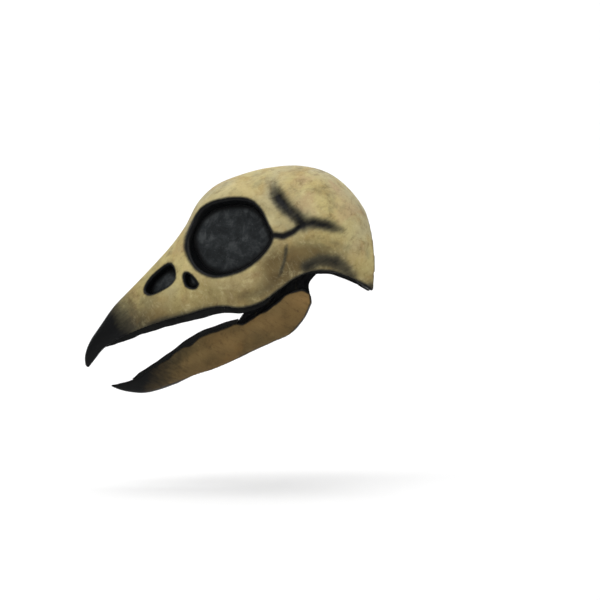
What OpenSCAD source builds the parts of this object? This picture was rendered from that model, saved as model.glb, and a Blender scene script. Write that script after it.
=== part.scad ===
// Bird-skull mask with a lower jaw that swings on two pivots beside the wearer's ears.
// X points to the wearer's left, Y to the back and Z up. The origin is the centre of the wearer's head.
// The skull and the jaw are lofts: each row of a station table is one flat section across the mask, and
// every lining, block and pad is cut from the same lofts, so that it follows the wall that it sits on.

/* [Overall size] */
// Length from the beak tip to the rear edge
mask_length = 405; // [365:1:490]
// Width across the temples
mask_width = 198; // [185:1:240]
// Height from the crown to the bottom of the jaw
mask_height = 318; // [300:1:385]

/* [Shell] */
// Wall thickness of the skull
skull_t = 3; // [2.4:0.1:4]
// Wall thickness of the jaw
jaw_t = 2.6; // [2.1:0.1:3.4]
// Depth of the eye sockets below the middle of their rim
eye_depth = 24; // [20:0.5:28]
// Half width of the opening at the back of the head
rear_half_w = 62; // [52:1:70]

/* [Jaw pivot] */
// Radius of the pivot screw's shoulder
pivot_r = 4; // [3:0.1:5]
// Radial clearance between the shoulder and the jaw arm
pivot_fit = 0.05; // [0.02:0.01:0.09]
// Thickness of each jaw arm
arm_t = 3; // [2.4:0.1:3.6]

/* [Straps and pads] */
// Width of the elastic straps
strap_w = 25; // [20:0.5:30]
// Thickness of the elastic straps
strap_t = 1.6; // [1.2:0.1:2]
// Thickness of the brow pad
brow_pad_t = 28; // [20:1:34]

/* [Hidden] */

bone = "#b6a87c";
jaw_bone = "#665330";
black = "#161616";
mesh_grey = "#2b2d2e";
foam = "#33312f";
webbing = "#1d1d1f";
steel = "#8d9094";
nylon = "#d9d6cc";
resin = "#6f6a5c";

// Scale of each axis against the nominal form
kx = mask_width / 198;
ky = mask_length / 405;
kz = mask_height / 318;
// Gap left for glue between a piece and the wall behind it
glue = 0.6;
LEFT = 1;
RIGHT = -1;

// One row for each section of the skull, from the beak tip over the crown to the rear edge:
// top y, z; lip y, z; half width at the lip; greatest half width; its height as a share; squareness
SKULL = [
    [-301, -162, -296.5, -166.5, 2.2, 2.6, 0.30, 2.0],
    [-301, -148, -288, -155.5, 5.5, 6.2, 0.25, 2.0],
    [-294, -129, -276, -140.5, 9.3, 10, 0.20, 1.95],
    [-280, -108, -261, -130.5, 13.6, 14.4, 0.18, 1.9],
    [-261, -81, -243.6, -121.5, 19, 19.8, 0.16, 1.85],
    [-237, -56, -225, -113, 25.5, 26.3, 0.15, 1.85],
    [-210, -28, -205, -105.5, 33, 34, 0.15, 1.85],
    [-181, 4, -180, -98, 41.5, 43, 0.18, 1.9],
    [-160, 33, -155, -91.5, 50, 52.5, 0.22, 1.95],
    [-143, 65, -130, -84, 58.5, 63, 0.28, 2.0],
    [-118, 89, -105, -81, 66.5, 73.5, 0.34, 2.1],
    [-84, 103.6, -80, -83, 73.5, 83, 0.40, 2.15],
    [-45, 113.5, -52, -75, 80, 91, 0.42, 2.2],
    [0, 116.5, -28, -58, 85, 96.5, 0.40, 2.2],
    [42, 105, -4, -41, 88, 99, 0.36, 2.35],
    [76, 75, 20, -33.5, 89, 98, 0.32, 2.7],
    [102.5, 29, 45, -35, 88, 94.5, 0.28, 3.1],
    [115, -20, 72, -45, 84, 87.5, 0.25, 3.4],
    [114, -62, 97, -58.5, 75, 76, 0.20, 3.4]
];
// One row for each section of the jaw, from its tip to its rear edge:
// top edge y, z; bottom y, z; half width; squareness
JAW = [
    [-265, -190, -264.5, -192.5, 2, 2],
    [-252, -187.5, -251, -197.6, 5, 2],
    [-240, -184.5, -236, -200.6, 8.2, 2.1],
    [-226, -177, -217, -201.6, 12.5, 2.2],
    [-208, -167, -196, -196.8, 18, 2.4],
    [-186, -153, -172, -188.3, 25, 2.8],
    [-160, -134.5, -145, -178.8, 33, 3.5],
    [-131, -118.5, -117, -169.5, 42.5, 4.5],
    [-101, -107.5, -89, -156.5, 53.5, 5.5],
    [-71, -98, -61, -142.5, 64.5, 6.5],
    [-44, -83, -34, -130.5, 74, 7.5],
    [-20, -64, -11, -119.5, 80, 8],
    [3, -55.5, 7, -98, 83, 8],
    [15, -63, 16.5, -76, 83, 8]
];
skull_end = len(SKULL) - 1;
jaw_end = len(JAW) - 1;
// Share of a skull section's height below which its sides run down to the lip
side_share = 0.3;

// Row u of a station table, through smooth curves between the rows and straight on past the ends
function row(tab, i) =
    i < 0 ? 2 * tab[0] - tab[1]
    : i > len(tab) - 1 ? 2 * tab[len(tab) - 1] - tab[len(tab) - 2]
    : tab[i];
function station(tab, u) =
    let (i = min(max(floor(u), 0), len(tab) - 2), t = u - i,
         a = row(tab, i - 1), b = row(tab, i), c = row(tab, i + 1), d = row(tab, i + 2))
    0.5 * (2 * b + (c - a) * t + (2 * a - 5 * b + 4 * c - d) * t * t
           + (3 * b - a - 3 * c + d) * t * t * t);

// Point of the skull's outer face: u along the stations, w from the right lip (-1) to the left lip (1)
function skull_point(u, w) =
    let (s = station(SKULL, u), v = 1 - abs(w), f = v / side_share,
         a = 90 * (v - side_share) / (1 - side_share), e = 2 / s[7],
         rise = v < side_share ? s[6] * f : s[6] + (1 - s[6]) * pow(sin(a), e),
         x = v < side_share ? s[5] - (s[5] - s[4]) * pow(1 - f, 2) : s[5] * pow(max(cos(a), 0), e))
    [sign(w) * x * kx, (s[2] + (s[0] - s[2]) * rise) * ky, (s[3] + (s[1] - s[3]) * rise) * kz];
// Point of the jaw's outer face: w from the right top edge (-1) under the chin to the left one (1)
function jaw_point(u, w) =
    let (s = station(JAW, u), a = 90 * (1 - abs(w)), e = 2 / s[5], drop = pow(sin(a), e))
    [sign(w) * s[4] * pow(max(cos(a), 0), e) * kx,
     (s[0] + (s[2] - s[0]) * drop) * ky, (s[1] + (s[3] - s[1]) * drop) * kz];

function unit(v) = v / norm(v);
function outward(point, u, w) =
    let (h = 0.004, c = min(max(w, h - 1), 1 - h))
    unit(cross(point(u, c + h) - point(u, c - h), point(u + h, c) - point(u - h, c)));
// Way from the top to the lip of a skull section, and from the bottom to the top edge of a jaw section
function skull_open_way(u) = let (s = station(SKULL, u)) unit([0, (s[2] - s[0]) * ky, (s[3] - s[1]) * kz]);
function jaw_open_way(u) = let (s = station(JAW, u)) unit([0, (s[0] - s[2]) * ky, (s[1] - s[3]) * kz]);
// Point at depth d below an outer face. Past the edges, where w is beyond 1, it runs straight on by
// edge_step mm for each unit of w.
edge_step = 100;
skull_face = function (u, w, d)
    let (c = min(max(w, -1), 1))
    skull_point(u, c) - d * outward(skull_out, u, c) + (abs(w) - abs(c)) * edge_step * skull_open_way(u);
jaw_face = function (u, w, d)
    let (c = min(max(w, -1), 1))
    jaw_point(u, c) + d * outward(jaw_out, u, c) + (abs(w) - abs(c)) * edge_step * jaw_open_way(u);
skull_out = function (u, w) skull_point(u, w);
jaw_out = function (u, w) jaw_point(u, w);

function steps(from, to, count) = [for (i = [0:count]) from + (to - from) * i / count];
function reversed(list) = [for (i = [len(list) - 1:-1:0]) list[i]];

// Closed solid through rings of points. Its ends are fans about each ring's middle or, on a folded ring
// whose second half runs back along the first, strips between the two halves.
module loft(rings, folded = false) {
    m = len(rings[0]);
    n = len(rings);
    function middle(ring) = [for (i = [0:2]) (min([for (p = ring) p[i]]) + max([for (p = ring) p[i]])) / 2];
    points = concat([for (ring = rings) each ring], folded ? [] : [middle(rings[0]), middle(rings[n - 1])]);
    faces = concat(
        [for (i = [0:n - 2]) for (j = [0:m - 1]) let (k = (j + 1) % m)
            each [[i * m + j, (i + 1) * m + j, (i + 1) * m + k], [i * m + j, (i + 1) * m + k, i * m + k]]],
        folded ? [] : [for (j = [0:m - 1]) [n * m, j, (j + 1) % m]],
        folded ? [] : [for (j = [0:m - 1]) [n * m + 1, (n - 1) * m + (j + 1) % m, (n - 1) * m + j]],
        folded ? [for (j = [0:m / 2 - 2]) let (k = m - 1 - j)
            each [[j, j + 1, k], [j + 1, k - 1, k],
                  [(n - 1) * m + j, (n - 1) * m + k, (n - 1) * m + j + 1],
                  [(n - 1) * m + j + 1, (n - 1) * m + k, (n - 1) * m + k - 1]]] : []);
    polyhedron(points, faces);
}
// Slab of a face between depths d0 and d1
module slab(face, us, ws, d0, d1) {
    nu = len(us);
    nw = len(ws);
    size = nu * nw;
    function at(i, j) = i * nw + j;
    points = concat([for (u = us) for (w = ws) face(u, w, d0)], [for (u = us) for (w = ws) face(u, w, d1)]);
    edge = concat([for (j = [0:nw - 1]) at(0, j)], [for (i = [1:nu - 1]) at(i, nw - 1)],
                  [for (j = [nw - 2:-1:0]) at(nu - 1, j)], [for (i = [nu - 2:-1:1]) at(i, 0)]);
    faces = concat(
        [for (i = [0:nu - 2]) for (j = [0:nw - 2])
            each [[at(i, j), at(i + 1, j), at(i + 1, j + 1)], [at(i, j), at(i + 1, j + 1), at(i, j + 1)],
                  [size + at(i, j), size + at(i + 1, j + 1), size + at(i + 1, j)],
                  [size + at(i, j), size + at(i, j + 1), size + at(i + 1, j + 1)]]],
        [for (k = [0:len(edge) - 1]) let (a = edge[k], b = edge[(k + 1) % len(edge)])
            each [[a, b, size + b], [a, size + b, size + a]]]);
    polyhedron(points, faces);
}
// Body enclosed by a face at depth d, from one edge (first) to the other, open_by mm past both
module body_of(face, us, first, count, d, open_by) {
    past = first * open_by / edge_step;
    inside = steps(first, -first, count);
    ws = open_by > 0 ? concat([first + past], inside, [-first - past]) : inside;
    loft([for (u = us) [for (w = ws) face(u, w, d)]]);
}
// Makes one mesh of its children
module one_mesh() resize([0, 0, 0]) children();
module mirrored(side) mirror([side == LEFT ? 0 : 1, 0, 0]) children();

skull_tip_solid = 2;
module skull_body() body_of(skull_face, steps(0, skull_end, 42), -1, 34, 0, 0);
module skull_hollow(d) {
    body_of(skull_face, steps(skull_tip_solid, skull_end + 0.6, 32), -1, 28, d, 16);
}
jaw_tip_solid = 2;
module jaw_body() body_of(jaw_face, steps(0, jaw_end, 30), 1, 26, 0, 0);
module jaw_hollow(d) {
    body_of(jaw_face, steps(jaw_tip_solid, jaw_end + 0.6, 26), 1, 22, d, 20);
}

// Closed smooth outline through a few points
function smooth(pts, per) =
    let (n = len(pts))
    [for (i = [0:n - 1]) for (t = [0:1 / per:0.999])
        let (a = pts[(i + n - 1) % n], b = pts[i], c = pts[(i + 1) % n], d = pts[(i + 2) % n])
        0.5 * (2 * b + (c - a) * t + (2 * a - 5 * b + 4 * c - d) * t * t
               + (3 * b - a - 3 * c + d) * t * t * t)];

// Openings in the skull: place on the face, depth and outline, with x to the back and y up
EYE = [10.4, 0.573, eye_depth,
    smooth([[-67, -4], [-58, 25], [-36, 44], [-5, 51.5], [25, 49.5], [45, 36.5], [58, 15], [65, -2],
            [55, -22], [33, -41], [8, -52], [-20, -55], [-48, -40]], 3)];
NOSTRIL = [6.5, 0.403, 12,
    smooth([[-22, -14], [-16, 3], [3, 19], [16, 20], [24, 8], [21, -5], [6, -15], [-14, -22]], 3)];
FENESTRA = [8.2, 0.623, 9,
    smooth([[-9, 7], [0, 8], [12, -3], [9, -11], [-4, -8]], 3)];
cup_t = 3;
mesh_t = 1.6;
module on_skull(hole) {
    p = skull_point(hole[0], hole[1]);
    n = outward(skull_out, hole[0], hole[1]);
    back = unit(cross([0, 0, 1], n));
    up = cross(n, back);
    multmatrix([[back[0], up[0], n[0], p[0]], [back[1], up[1], n[1], p[1]], [back[2], up[2], n[2], p[2]]])
        children();
}
module hole_prism(hole, grow, from, to) {
    on_skull(hole) translate([0, 0, from]) linear_extrude(to - from)
        offset(delta = grow) scale([ky, kz]) polygon(hole[3]);
}
// Reaches past the skull's face everywhere on the outline
past_face = 25;
mesh_gap = 0.3;
module mesh_panel(hole) color(mesh_grey) one_mesh() intersection() {
    hole_prism(hole, 2, -hole[2] - mesh_gap - mesh_t, -hole[2] - mesh_gap);
    skull_hollow(skull_t + mesh_gap);
}

// The back of the mask is cut off upright, and an arch between the sides lets the head in
rear_arch_top = 48;
rear_arch_rise = 40;
module rear_cuts() {
    rotate([90, 0, 0]) translate([0, 0, -150 * ky]) linear_extrude(90 * ky) {
        translate([-rear_half_w * kx, -100 * kz])
            square([2 * rear_half_w * kx, (100 + rear_arch_top - rear_arch_rise) * kz]);
        translate([0, (rear_arch_top - rear_arch_rise) * kz])
            scale([rear_half_w * kx / rear_arch_rise, kz]) circle(rear_arch_rise, $fn = 64);
    }
    rotate([90, 0, 90]) translate([0, 0, -150 * kx]) linear_extrude(300 * kx) scale([ky, kz])
        polygon([[92.5, 50], [97, 30], [100.3, 10], [102.3, -12], [102.6, -30], [101.3, -48], [99.4, -61.6],
                 [98.5, -90], [160, -90], [160, 50]]);
}
module holes(grow, past_floor) {
    for (side = [LEFT, RIGHT]) mirrored(side) for (hole = [EYE, NOSTRIL, FENESTRA])
        hole_prism(hole, grow, -hole[2] - past_floor, past_face);
}
module skull_shell() color(bone) one_mesh() difference() {
    skull_body();
    difference() {
        skull_hollow(skull_t);
        holes(cup_t, 0);
    }
    holes(0, 1);
    rear_cuts();
}

// Black lining of the beak: an upturned channel that shows below the lip and closes the roof of the mouth
lining_t = 1.8;
palate_from = 2.3;
palate_to = 10;
palate_rise = 0.085;
// How far the lining shows below the lip at station u
function lining_drop(u) = lookup(u, [[2.3, 3], [4, 7.5], [9, 11], [10, 9.5], [11.3, 7], [13, 3], [17.4, 2.5]]);
module palate_lining() color(black) {
    out_d = skull_t + glue;
    in_d = out_d + lining_t;
    loft([for (u = steps(palate_from, palate_to, 20)) let (
        low = -1 - lining_drop(u) / edge_step,
        out = [for (w = [low, -1, palate_rise - 1]) skull_face(u, w, out_d)],
        in = [skull_face(u, low, in_d), skull_face(u, -1, in_d),
              skull_face(u, palate_rise - 1, in_d) + lining_t * skull_open_way(u)])
        concat(out, [for (p = reversed(out)) [-p[0], p[1], p[2]]],
               [for (p = in) [-p[0], p[1], p[2]]], reversed(in))], folded = true);
}
// The same lining goes on along each side of the skull to its rear corner
lip_face = function (u, w, d) skull_face(u, w > 1 ? 1 + lining_drop(u) / edge_step : w, d);
module lip_lining() color(black)
    slab(lip_face, steps(palate_to + 0.1, 17.4, 20), [0.96, 1, 1.1], skull_t + glue,
         skull_t + glue + lining_t);

// Stretch fabric that closes the cheek. Across it, from 0 to 3, it runs down the lining inside the skull's
// lip, then free to the jaw's edge, then down the jaw's inner face.
gusset_t = 1.2;
gusset_grip = 0.07;
function jaw_w(u, share) = 1 - asin(pow(share, station(JAW, u)[5] / 2)) / 90;
gusset_face = function (s, t, d)
    let (u = 11.05 + 4.25 * s, v = 8.45 + 4.4 * s, deep = skull_t + glue + lining_t + 1.3,
         line = [skull_face(u, 0.965, deep), skull_face(u, 1 + (lining_drop(u) + 0.6) / edge_step, deep),
                 jaw_face(v, 1 + 1 / edge_step, jaw_t + 0.4), jaw_face(v, jaw_w(v, gusset_grip), jaw_t + 0.4)],
         i = min(floor(t), 2), tuck = i == 1 ? 6 * sin(180 * (t - 1)) * s * s : 0)
    line[i] + (line[i + 1] - line[i]) * (t - i) - [d, tuck, 0];
module cheek_gusset() color(black) slab(gusset_face, steps(0, 1, 16), [0, 1, 1.25, 1.5, 1.75, 2, 3], 0, gusset_t);

// Jaw pivots
hinge_y = 8 * ky;
hinge_z = -14 * kz;
arm_face = 75 * kx;
washer_t = 1;
boss_t = 3.8;
plate_t = 2.5;
gap = 0.05;
boss_from = arm_face + washer_t + 2 * gap;
plate_from = boss_from + boss_t;
block_from = plate_from + plate_t + gap;
screw_r = 1.5;
screw_head_r = 3.2;
screw_head_t = 1.8;
thread_r = 2.5;
plate_screws = [[11.7, 7], [-11.7, 7]];

// Cylinder along X
module bar_x(r, from, to, fn = 48) {
    translate([from, 0, 0]) rotate([0, 90, 0]) cylinder(h = to - from, r = r, $fn = fn);
}
// Rounded box across X between two corners in Y and Z
module plate_x(low, high, from, to, r) {
    for (grow = [[r, 0], [0, r]])
        translate([from, low[0] + grow[0], low[1] + grow[1]])
            cube([to - from, high[0] - low[0] - 2 * grow[0], high[1] - low[1] - 2 * grow[1]]);
    for (y = [low[0] + r, high[0] - r]) for (z = [low[1] + r, high[1] - r])
        translate([0, y, z]) bar_x(r, from, to, 32);
}
// Pan-head screw along X whose head rests against from
module screw_x(from, length) {
    bar_x(screw_head_r, from - screw_head_t, from, 32);
    bar_x(screw_r, from - screw_head_t / 2, from + length, 32);
}
// Resin block that fills the space between a flat face and the curved wall outside it
module wall_block(low, high, from, holes) color(resin) one_mesh() difference() {
    intersection() {
        plate_x(low, high, from, 125 * kx, 4);
        children();
    }
    for (hole = holes) translate([0, hole[0], hole[1]]) bar_x(hole[2], from - 1, from + hole[3], 24);
}
screw_length = 8;
pilot = [screw_r + 0.25, screw_length + 1];
hinge_low = [hinge_y - 17, hinge_z - 12];
hinge_high = [hinge_y + 17, hinge_z + 12];
module hinge_block() wall_block(hinge_low, hinge_high, block_from, concat(
        [for (p = plate_screws) [hinge_y + p[0], hinge_z + p[1], pilot[0], pilot[1] - plate_t]],
        [[hinge_y, hinge_z, thread_r + 0.6, 6]])) skull_hollow(skull_t + glue);
module hinge_plate() color(steel) difference() {
    union() {
        plate_x(hinge_low, hinge_high, plate_from, plate_from + plate_t, 4);
        translate([0, hinge_y, hinge_z]) bar_x(7.5, boss_from, plate_from + plate_t);
    }
    translate([0, hinge_y, hinge_z]) bar_x(thread_r + gap, boss_from - 1, block_from + 1);
    for (p = plate_screws) translate([0, hinge_y + p[0], hinge_z + p[1]])
        bar_x(screw_r + 0.2, plate_from - 1, block_from + 1);
}
module hinge_plate_screws() color(steel) for (side = [LEFT, RIGHT]) mirrored(side)
    for (p = plate_screws) translate([0, hinge_y + p[0], hinge_z + p[1]])
        screw_x(plate_from - gap, screw_length);
module pivot_screw() color(steel) translate([0, hinge_y, hinge_z]) difference() {
    union() {
        bar_x(7, arm_face - arm_t - 0.15 - 2.4, arm_face - arm_t - 0.15);
        bar_x(pivot_r, arm_face - arm_t - 1, boss_from - gap);
        bar_x(thread_r, boss_from - 1, block_from + 5);
    }
    translate([arm_face - arm_t - 3.5, 0, 0]) rotate([0, 90, 0]) cylinder(h = 2.4, r = 2.3, $fn = 6);
}
module pivot_washer() color(nylon) translate([0, hinge_y, hinge_z]) difference() {
    bar_x(7, arm_face + gap, arm_face + gap + washer_t);
    bar_x(pivot_r + 0.15, arm_face - 1, arm_face + washer_t + 1);
}

// Foam pads, held off the wall by hook-and-loop tape
tape_t = 1.5;
module foam_pad(us, ws, thick) color(foam) slab(skull_face, us, ws, skull_t + tape_t, skull_t + tape_t + thick);
module brow_pad() foam_pad(steps(8.7, 10.1, 5), steps(-0.2, 0.2, 8), brow_pad_t);
module crown_pad() foam_pad(steps(11.6, 13.8, 6), steps(-0.1, 0.1, 6), 8);
module temple_pad() foam_pad(steps(12.8, 14, 5), steps(0.52, 0.74, 6), 12);

// Elastic straps behind the head, each with an adjusting slide
strap_x = 84 * kx;
lower_strap_z = strap_w / 2 - 27.5 * kz;
upper_strap_z = lower_strap_z + strap_w + 10;
// A wider upper strap reaches up to where the wall curves in, so it runs further in
upper_in = 0.5 * (strap_w - 25);
UPPER = [upper_strap_z,
    [for (p = [[0, 91.5], [34, 91.5], [45, 90], [56, 86], [68, 78], [78, 66], [83, 56], [84, 46], [84, 28]])
        [p[0], p[1] - upper_in]]];
LOWER = [lower_strap_z, [[0, 93], [34, 93], [46, 92], [58, 89], [69, 84], [78, 76], [83, 67], [84, 58], [84, 42]]];
anchor_half = [13, 10.5];
function anchor_y(strap) = (strap[1][8][1] + 5) * ky + 8;
function half_path(strap) = [for (p = strap[1]) [p[0] * kx, p[1] * ky]];
function full_path(half) = concat(reversed([for (i = [1:len(half) - 1]) [-half[i][0], half[i][1]]]), half);
function path_normal(p, i) =
    let (a = p[max(i - 1, 0)], b = p[min(i + 1, len(p) - 1)], v = unit(b - a)) [-v[1], v[0]];
// Band of even thickness along a flat path
module ribbon(path, thick, wide) {
    side = [for (i = [0:len(path) - 1]) path_normal(path, i) * thick / 2];
    translate([0, 0, -wide / 2]) linear_extrude(wide)
        polygon(concat([for (i = [0:len(path) - 1]) path[i] + side[i]],
                       reversed([for (i = [0:len(path) - 1]) path[i] - side[i]])));
}
function strap_screw_places(strap) = [for (s = [-6, 6]) [anchor_y(strap), strap[0] + s]];
module head_strap(strap) color(webbing) difference() {
    translate([0, 0, strap[0]]) ribbon(full_path(half_path(strap)), strap_t, strap_w);
    for (p = strap_screw_places(strap)) translate([0, p[0], p[1]])
        bar_x(screw_r + 0.2, -130 * kx, 130 * kx);
}
module head_strap_screws(strap) color(steel) for (side = [LEFT, RIGHT]) mirrored(side)
    for (p = strap_screw_places(strap)) translate([0, p[0], p[1]])
        screw_x(strap_x - strap_t / 2 - gap, screw_length - 2);
module strap_anchor(strap) {
    y = anchor_y(strap);
    from = strap_x + strap_t / 2 + gap;
    wall_block([y - anchor_half[0], strap[0] - anchor_half[1]], [y + anchor_half[0], strap[0] + anchor_half[1]],
               from, [for (p = strap_screw_places(strap)) [p[0], p[1], pilot[0], screw_length - 3.5]])
        skull_hollow(skull_t + glue);
}
slide_half = 8;
slide_rail = 3;
slide_depth = 5.8;
slide_fit = 0.3;
module strap_slide(strap) color(black) translate([0, strap[1][0][1] * ky, strap[0]]) {
    inner = strap_t / 2 + slide_fit;
    tall = strap_w + 2 * (slide_fit + slide_rail);
    for (z = [strap_w / 2 + slide_fit, -strap_w / 2 - slide_fit - slide_rail])
        translate([-slide_half - 1.5, -slide_depth / 2, z]) cube([2 * slide_half + 3, slide_depth, slide_rail]);
    for (x = [-slide_half - 1.5, slide_half - 1.5])
        translate([x, -slide_depth / 2, -tall / 2]) cube([3, slide_depth / 2 - inner, tall]);
    translate([-1.5, inner, -tall / 2]) cube([3, slide_depth / 2 - inner, tall]);
}

// Lower jaw
// Opening under the chin, between the two sides of the jaw
module chin_opening(grow) {
    half = [[9, -166], [18, -150], [29, -118], [39, -90], [51, -61], [62, -34], [68, -11], [71, 8], [71, 60]];
    translate([0, 0, -230 * kz]) linear_extrude(165 * kz) offset(delta = grow) scale([kx, ky])
        polygon(concat([[0, -171]], half, reversed([for (p = half) [-p[0], p[1]]])));
}
module jaw_shell() color(jaw_bone) one_mesh() difference() {
    jaw_body();
    jaw_hollow(jaw_t);
    chin_opening(0);
}
// Black lining of the jaw, whose rim shows above the jaw's edge
jaw_lining_t = 1.6;
function rim_rise(u) = lookup(u, [[2.4, 1.5], [4, 4], [6, 6], [8.35, 6]]);
jaw_lining_face = function (u, w, d)
    jaw_face(u, abs(w) > 1 ? sign(w) * (1 + rim_rise(u) / edge_step) : w, d);
module jaw_lining() color(black) one_mesh() difference() {
    slab(jaw_lining_face, steps(2.4, 8.35, 16), concat([1.1], steps(1, -1, 18), [-1.1]), jaw_t + glue,
         jaw_t + glue + jaw_lining_t);
    chin_opening(2);
}
foot_y = -6 * ky;
foot_z = -84 * kz;
foot_low = [foot_y - 9, foot_z - 13];
foot_high = [foot_y + 9, foot_z + 13];
arm_screw_places = [[foot_y, foot_z - 8], [foot_y, foot_z + 8]];
module arm_block() wall_block(foot_low, foot_high, arm_face + gap,
        [for (p = arm_screw_places) [p[0], p[1], pilot[0], 2.6]]) jaw_hollow(jaw_t + glue);
module jaw_arm() color(steel) difference() {
    from = arm_face - arm_t;
    a = [hinge_y, hinge_z];
    b = [foot_y, foot_z + 5];
    side = 8 * unit([a[1] - b[1], b[0] - a[0]]);
    union() {
        translate([0, a[0], a[1]]) bar_x(9, from, arm_face);
        rotate([90, 0, 90]) translate([0, 0, from]) linear_extrude(arm_t)
            polygon([a + side, b + side, b - side, a - side]);
        plate_x(foot_low, foot_high, from, arm_face, 4);
    }
    translate([0, hinge_y, hinge_z]) bar_x(pivot_r + pivot_fit, from - 1, arm_face + 1);
    for (p = arm_screw_places) translate([0, p[0], p[1]]) bar_x(screw_r + 0.2, from - 1, arm_face + 1);
}
module jaw_arm_screws() color(steel) for (side = [LEFT, RIGHT]) mirrored(side)
    for (p = arm_screw_places) translate([0, p[0], p[1]]) screw_x(arm_face - arm_t - gap, arm_t + 2);

// Chin strap: a hammock that carries the jaw on the wearer's chin
chin_strap_w = 28;
chin_y = -80 * ky;
chin_x = 47 * kx;
chin_z = -137 * kz;
CHIN = [for (p = [[0, -137], [25, -137], [34, -134.5], [41, -129], [45.5, -121], [47, -114], [47, -100]])
    [p[0] * kx, p[1] * kz]];
chin_screw_places = [for (s = [-7, 7]) [chin_y + s, -107 * kz]];
module chin_strap() color(webbing) difference() {
    translate([0, chin_y, 0]) rotate([90, 0, 0]) ribbon(full_path(CHIN), strap_t, chin_strap_w);
    for (p = chin_screw_places) translate([0, p[0], p[1]]) bar_x(screw_r + 0.2, -90 * kx, 90 * kx);
}
module chin_anchor() wall_block([chin_y - 13, -107 * kz - 7.5], [chin_y + 13, -107 * kz + 6],
        chin_x + strap_t / 2 + gap, [for (p = chin_screw_places) [p[0], p[1], pilot[0], 4.5]])
    jaw_hollow(jaw_t + glue + jaw_lining_t + glue);
module chin_strap_screws() color(steel) for (side = [LEFT, RIGHT]) mirrored(side)
    for (p = chin_screw_places) translate([0, p[0], p[1]]) screw_x(chin_x - strap_t / 2 - gap, strap_t + 4);
module chin_pad() color(foam) translate([0, chin_y, chin_z + strap_t / 2 + 0.3])
    rotate([90, 0, 0]) linear_extrude(chin_strap_w - 2, center = true)
        polygon([[-22, 0], [22, 0], [24, 2], [24, 6], [20, 9], [-20, 9], [-24, 6], [-24, 2]]);

// Draws the pieces of a side
module left(name) children();
module right(name) mirrored(RIGHT) children();
skull_shell();
palate_lining();
left("lip_lining") lip_lining();
right("lip_lining") lip_lining();
left("eye_mesh") mesh_panel(EYE);
right("eye_mesh") mesh_panel(EYE);
left("nostril_mesh") mesh_panel(NOSTRIL);
right("nostril_mesh") mesh_panel(NOSTRIL);
left("fenestra_mesh") mesh_panel(FENESTRA);
right("fenestra_mesh") mesh_panel(FENESTRA);
left("cheek_gusset") cheek_gusset();
right("cheek_gusset") cheek_gusset();
left("hinge_block") hinge_block();
right("hinge_block") hinge_block();
left("hinge_plate") hinge_plate();
right("hinge_plate") hinge_plate();
hinge_plate_screws();
left("pivot_screw") pivot_screw();
right("pivot_screw") pivot_screw();
left("pivot_washer") pivot_washer();
right("pivot_washer") pivot_washer();
brow_pad();
crown_pad();
left("temple_pad") temple_pad();
right("temple_pad") temple_pad();
left("upper_anchor") strap_anchor(UPPER);
right("upper_anchor") strap_anchor(UPPER);
left("lower_anchor") strap_anchor(LOWER);
right("lower_anchor") strap_anchor(LOWER);
head_strap(UPPER);  // upper_strap
head_strap(LOWER);  // lower_strap
head_strap_screws(UPPER);  // upper_strap_screws
head_strap_screws(LOWER);  // lower_strap_screws
strap_slide(UPPER);  // upper_strap_slide
strap_slide(LOWER);  // lower_strap_slide
jaw_shell();
jaw_lining();
left("arm_block") arm_block();
right("arm_block") arm_block();
left("jaw_arm") jaw_arm();
right("jaw_arm") jaw_arm();
jaw_arm_screws();
left("chin_anchor") chin_anchor();
right("chin_anchor") chin_anchor();
chin_strap();
chin_pad();
chin_strap_screws();
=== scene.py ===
import math
import bpy
import numpy as np
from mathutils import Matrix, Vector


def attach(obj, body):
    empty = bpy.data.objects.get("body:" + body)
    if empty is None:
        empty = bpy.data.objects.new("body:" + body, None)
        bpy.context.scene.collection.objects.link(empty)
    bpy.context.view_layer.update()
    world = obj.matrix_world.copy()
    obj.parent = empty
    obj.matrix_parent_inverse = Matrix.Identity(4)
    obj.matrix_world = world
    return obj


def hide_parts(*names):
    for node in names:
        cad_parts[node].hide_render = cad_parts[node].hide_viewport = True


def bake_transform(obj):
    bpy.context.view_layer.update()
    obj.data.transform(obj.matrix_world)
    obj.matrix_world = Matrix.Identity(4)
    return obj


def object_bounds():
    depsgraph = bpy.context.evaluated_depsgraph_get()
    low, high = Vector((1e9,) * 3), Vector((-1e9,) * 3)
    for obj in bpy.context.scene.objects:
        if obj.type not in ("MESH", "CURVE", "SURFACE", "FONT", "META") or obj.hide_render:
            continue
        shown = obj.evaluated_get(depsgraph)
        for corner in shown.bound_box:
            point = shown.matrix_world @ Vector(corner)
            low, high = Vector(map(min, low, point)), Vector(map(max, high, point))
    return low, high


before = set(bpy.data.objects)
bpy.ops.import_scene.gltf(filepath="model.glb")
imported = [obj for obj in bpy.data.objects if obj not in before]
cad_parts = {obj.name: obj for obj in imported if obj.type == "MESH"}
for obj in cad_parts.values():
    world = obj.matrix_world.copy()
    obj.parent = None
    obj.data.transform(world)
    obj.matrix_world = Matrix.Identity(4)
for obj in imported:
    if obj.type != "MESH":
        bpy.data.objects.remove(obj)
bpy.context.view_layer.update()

import openvdb as vdb
from mathutils import Matrix, Vector

MM = 0.001
LEFT, RIGHT = 1, -1

# ---------------------------------------------------------------- camera and light
MID_Z = -0.0714
VIEW_WIDTH = 0.84
CAMERA_AWAY = 3.2


def aim(obj, place, target):
    obj.location = place
    obj.rotation_euler = (Vector(target) - Vector(place)).to_track_quat("-Z", "Y").to_euler()


def add_camera():
    data = bpy.data.cameras.new("camera")
    data.sensor_width = 36
    data.lens = 36 * CAMERA_AWAY / VIEW_WIDTH
    obj = bpy.data.objects.new("camera", data)
    bpy.context.collection.objects.link(obj)
    aim(obj, (CAMERA_AWAY, 0, MID_Z), (0, 0, MID_Z))
    bpy.context.scene.camera = obj


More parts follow.
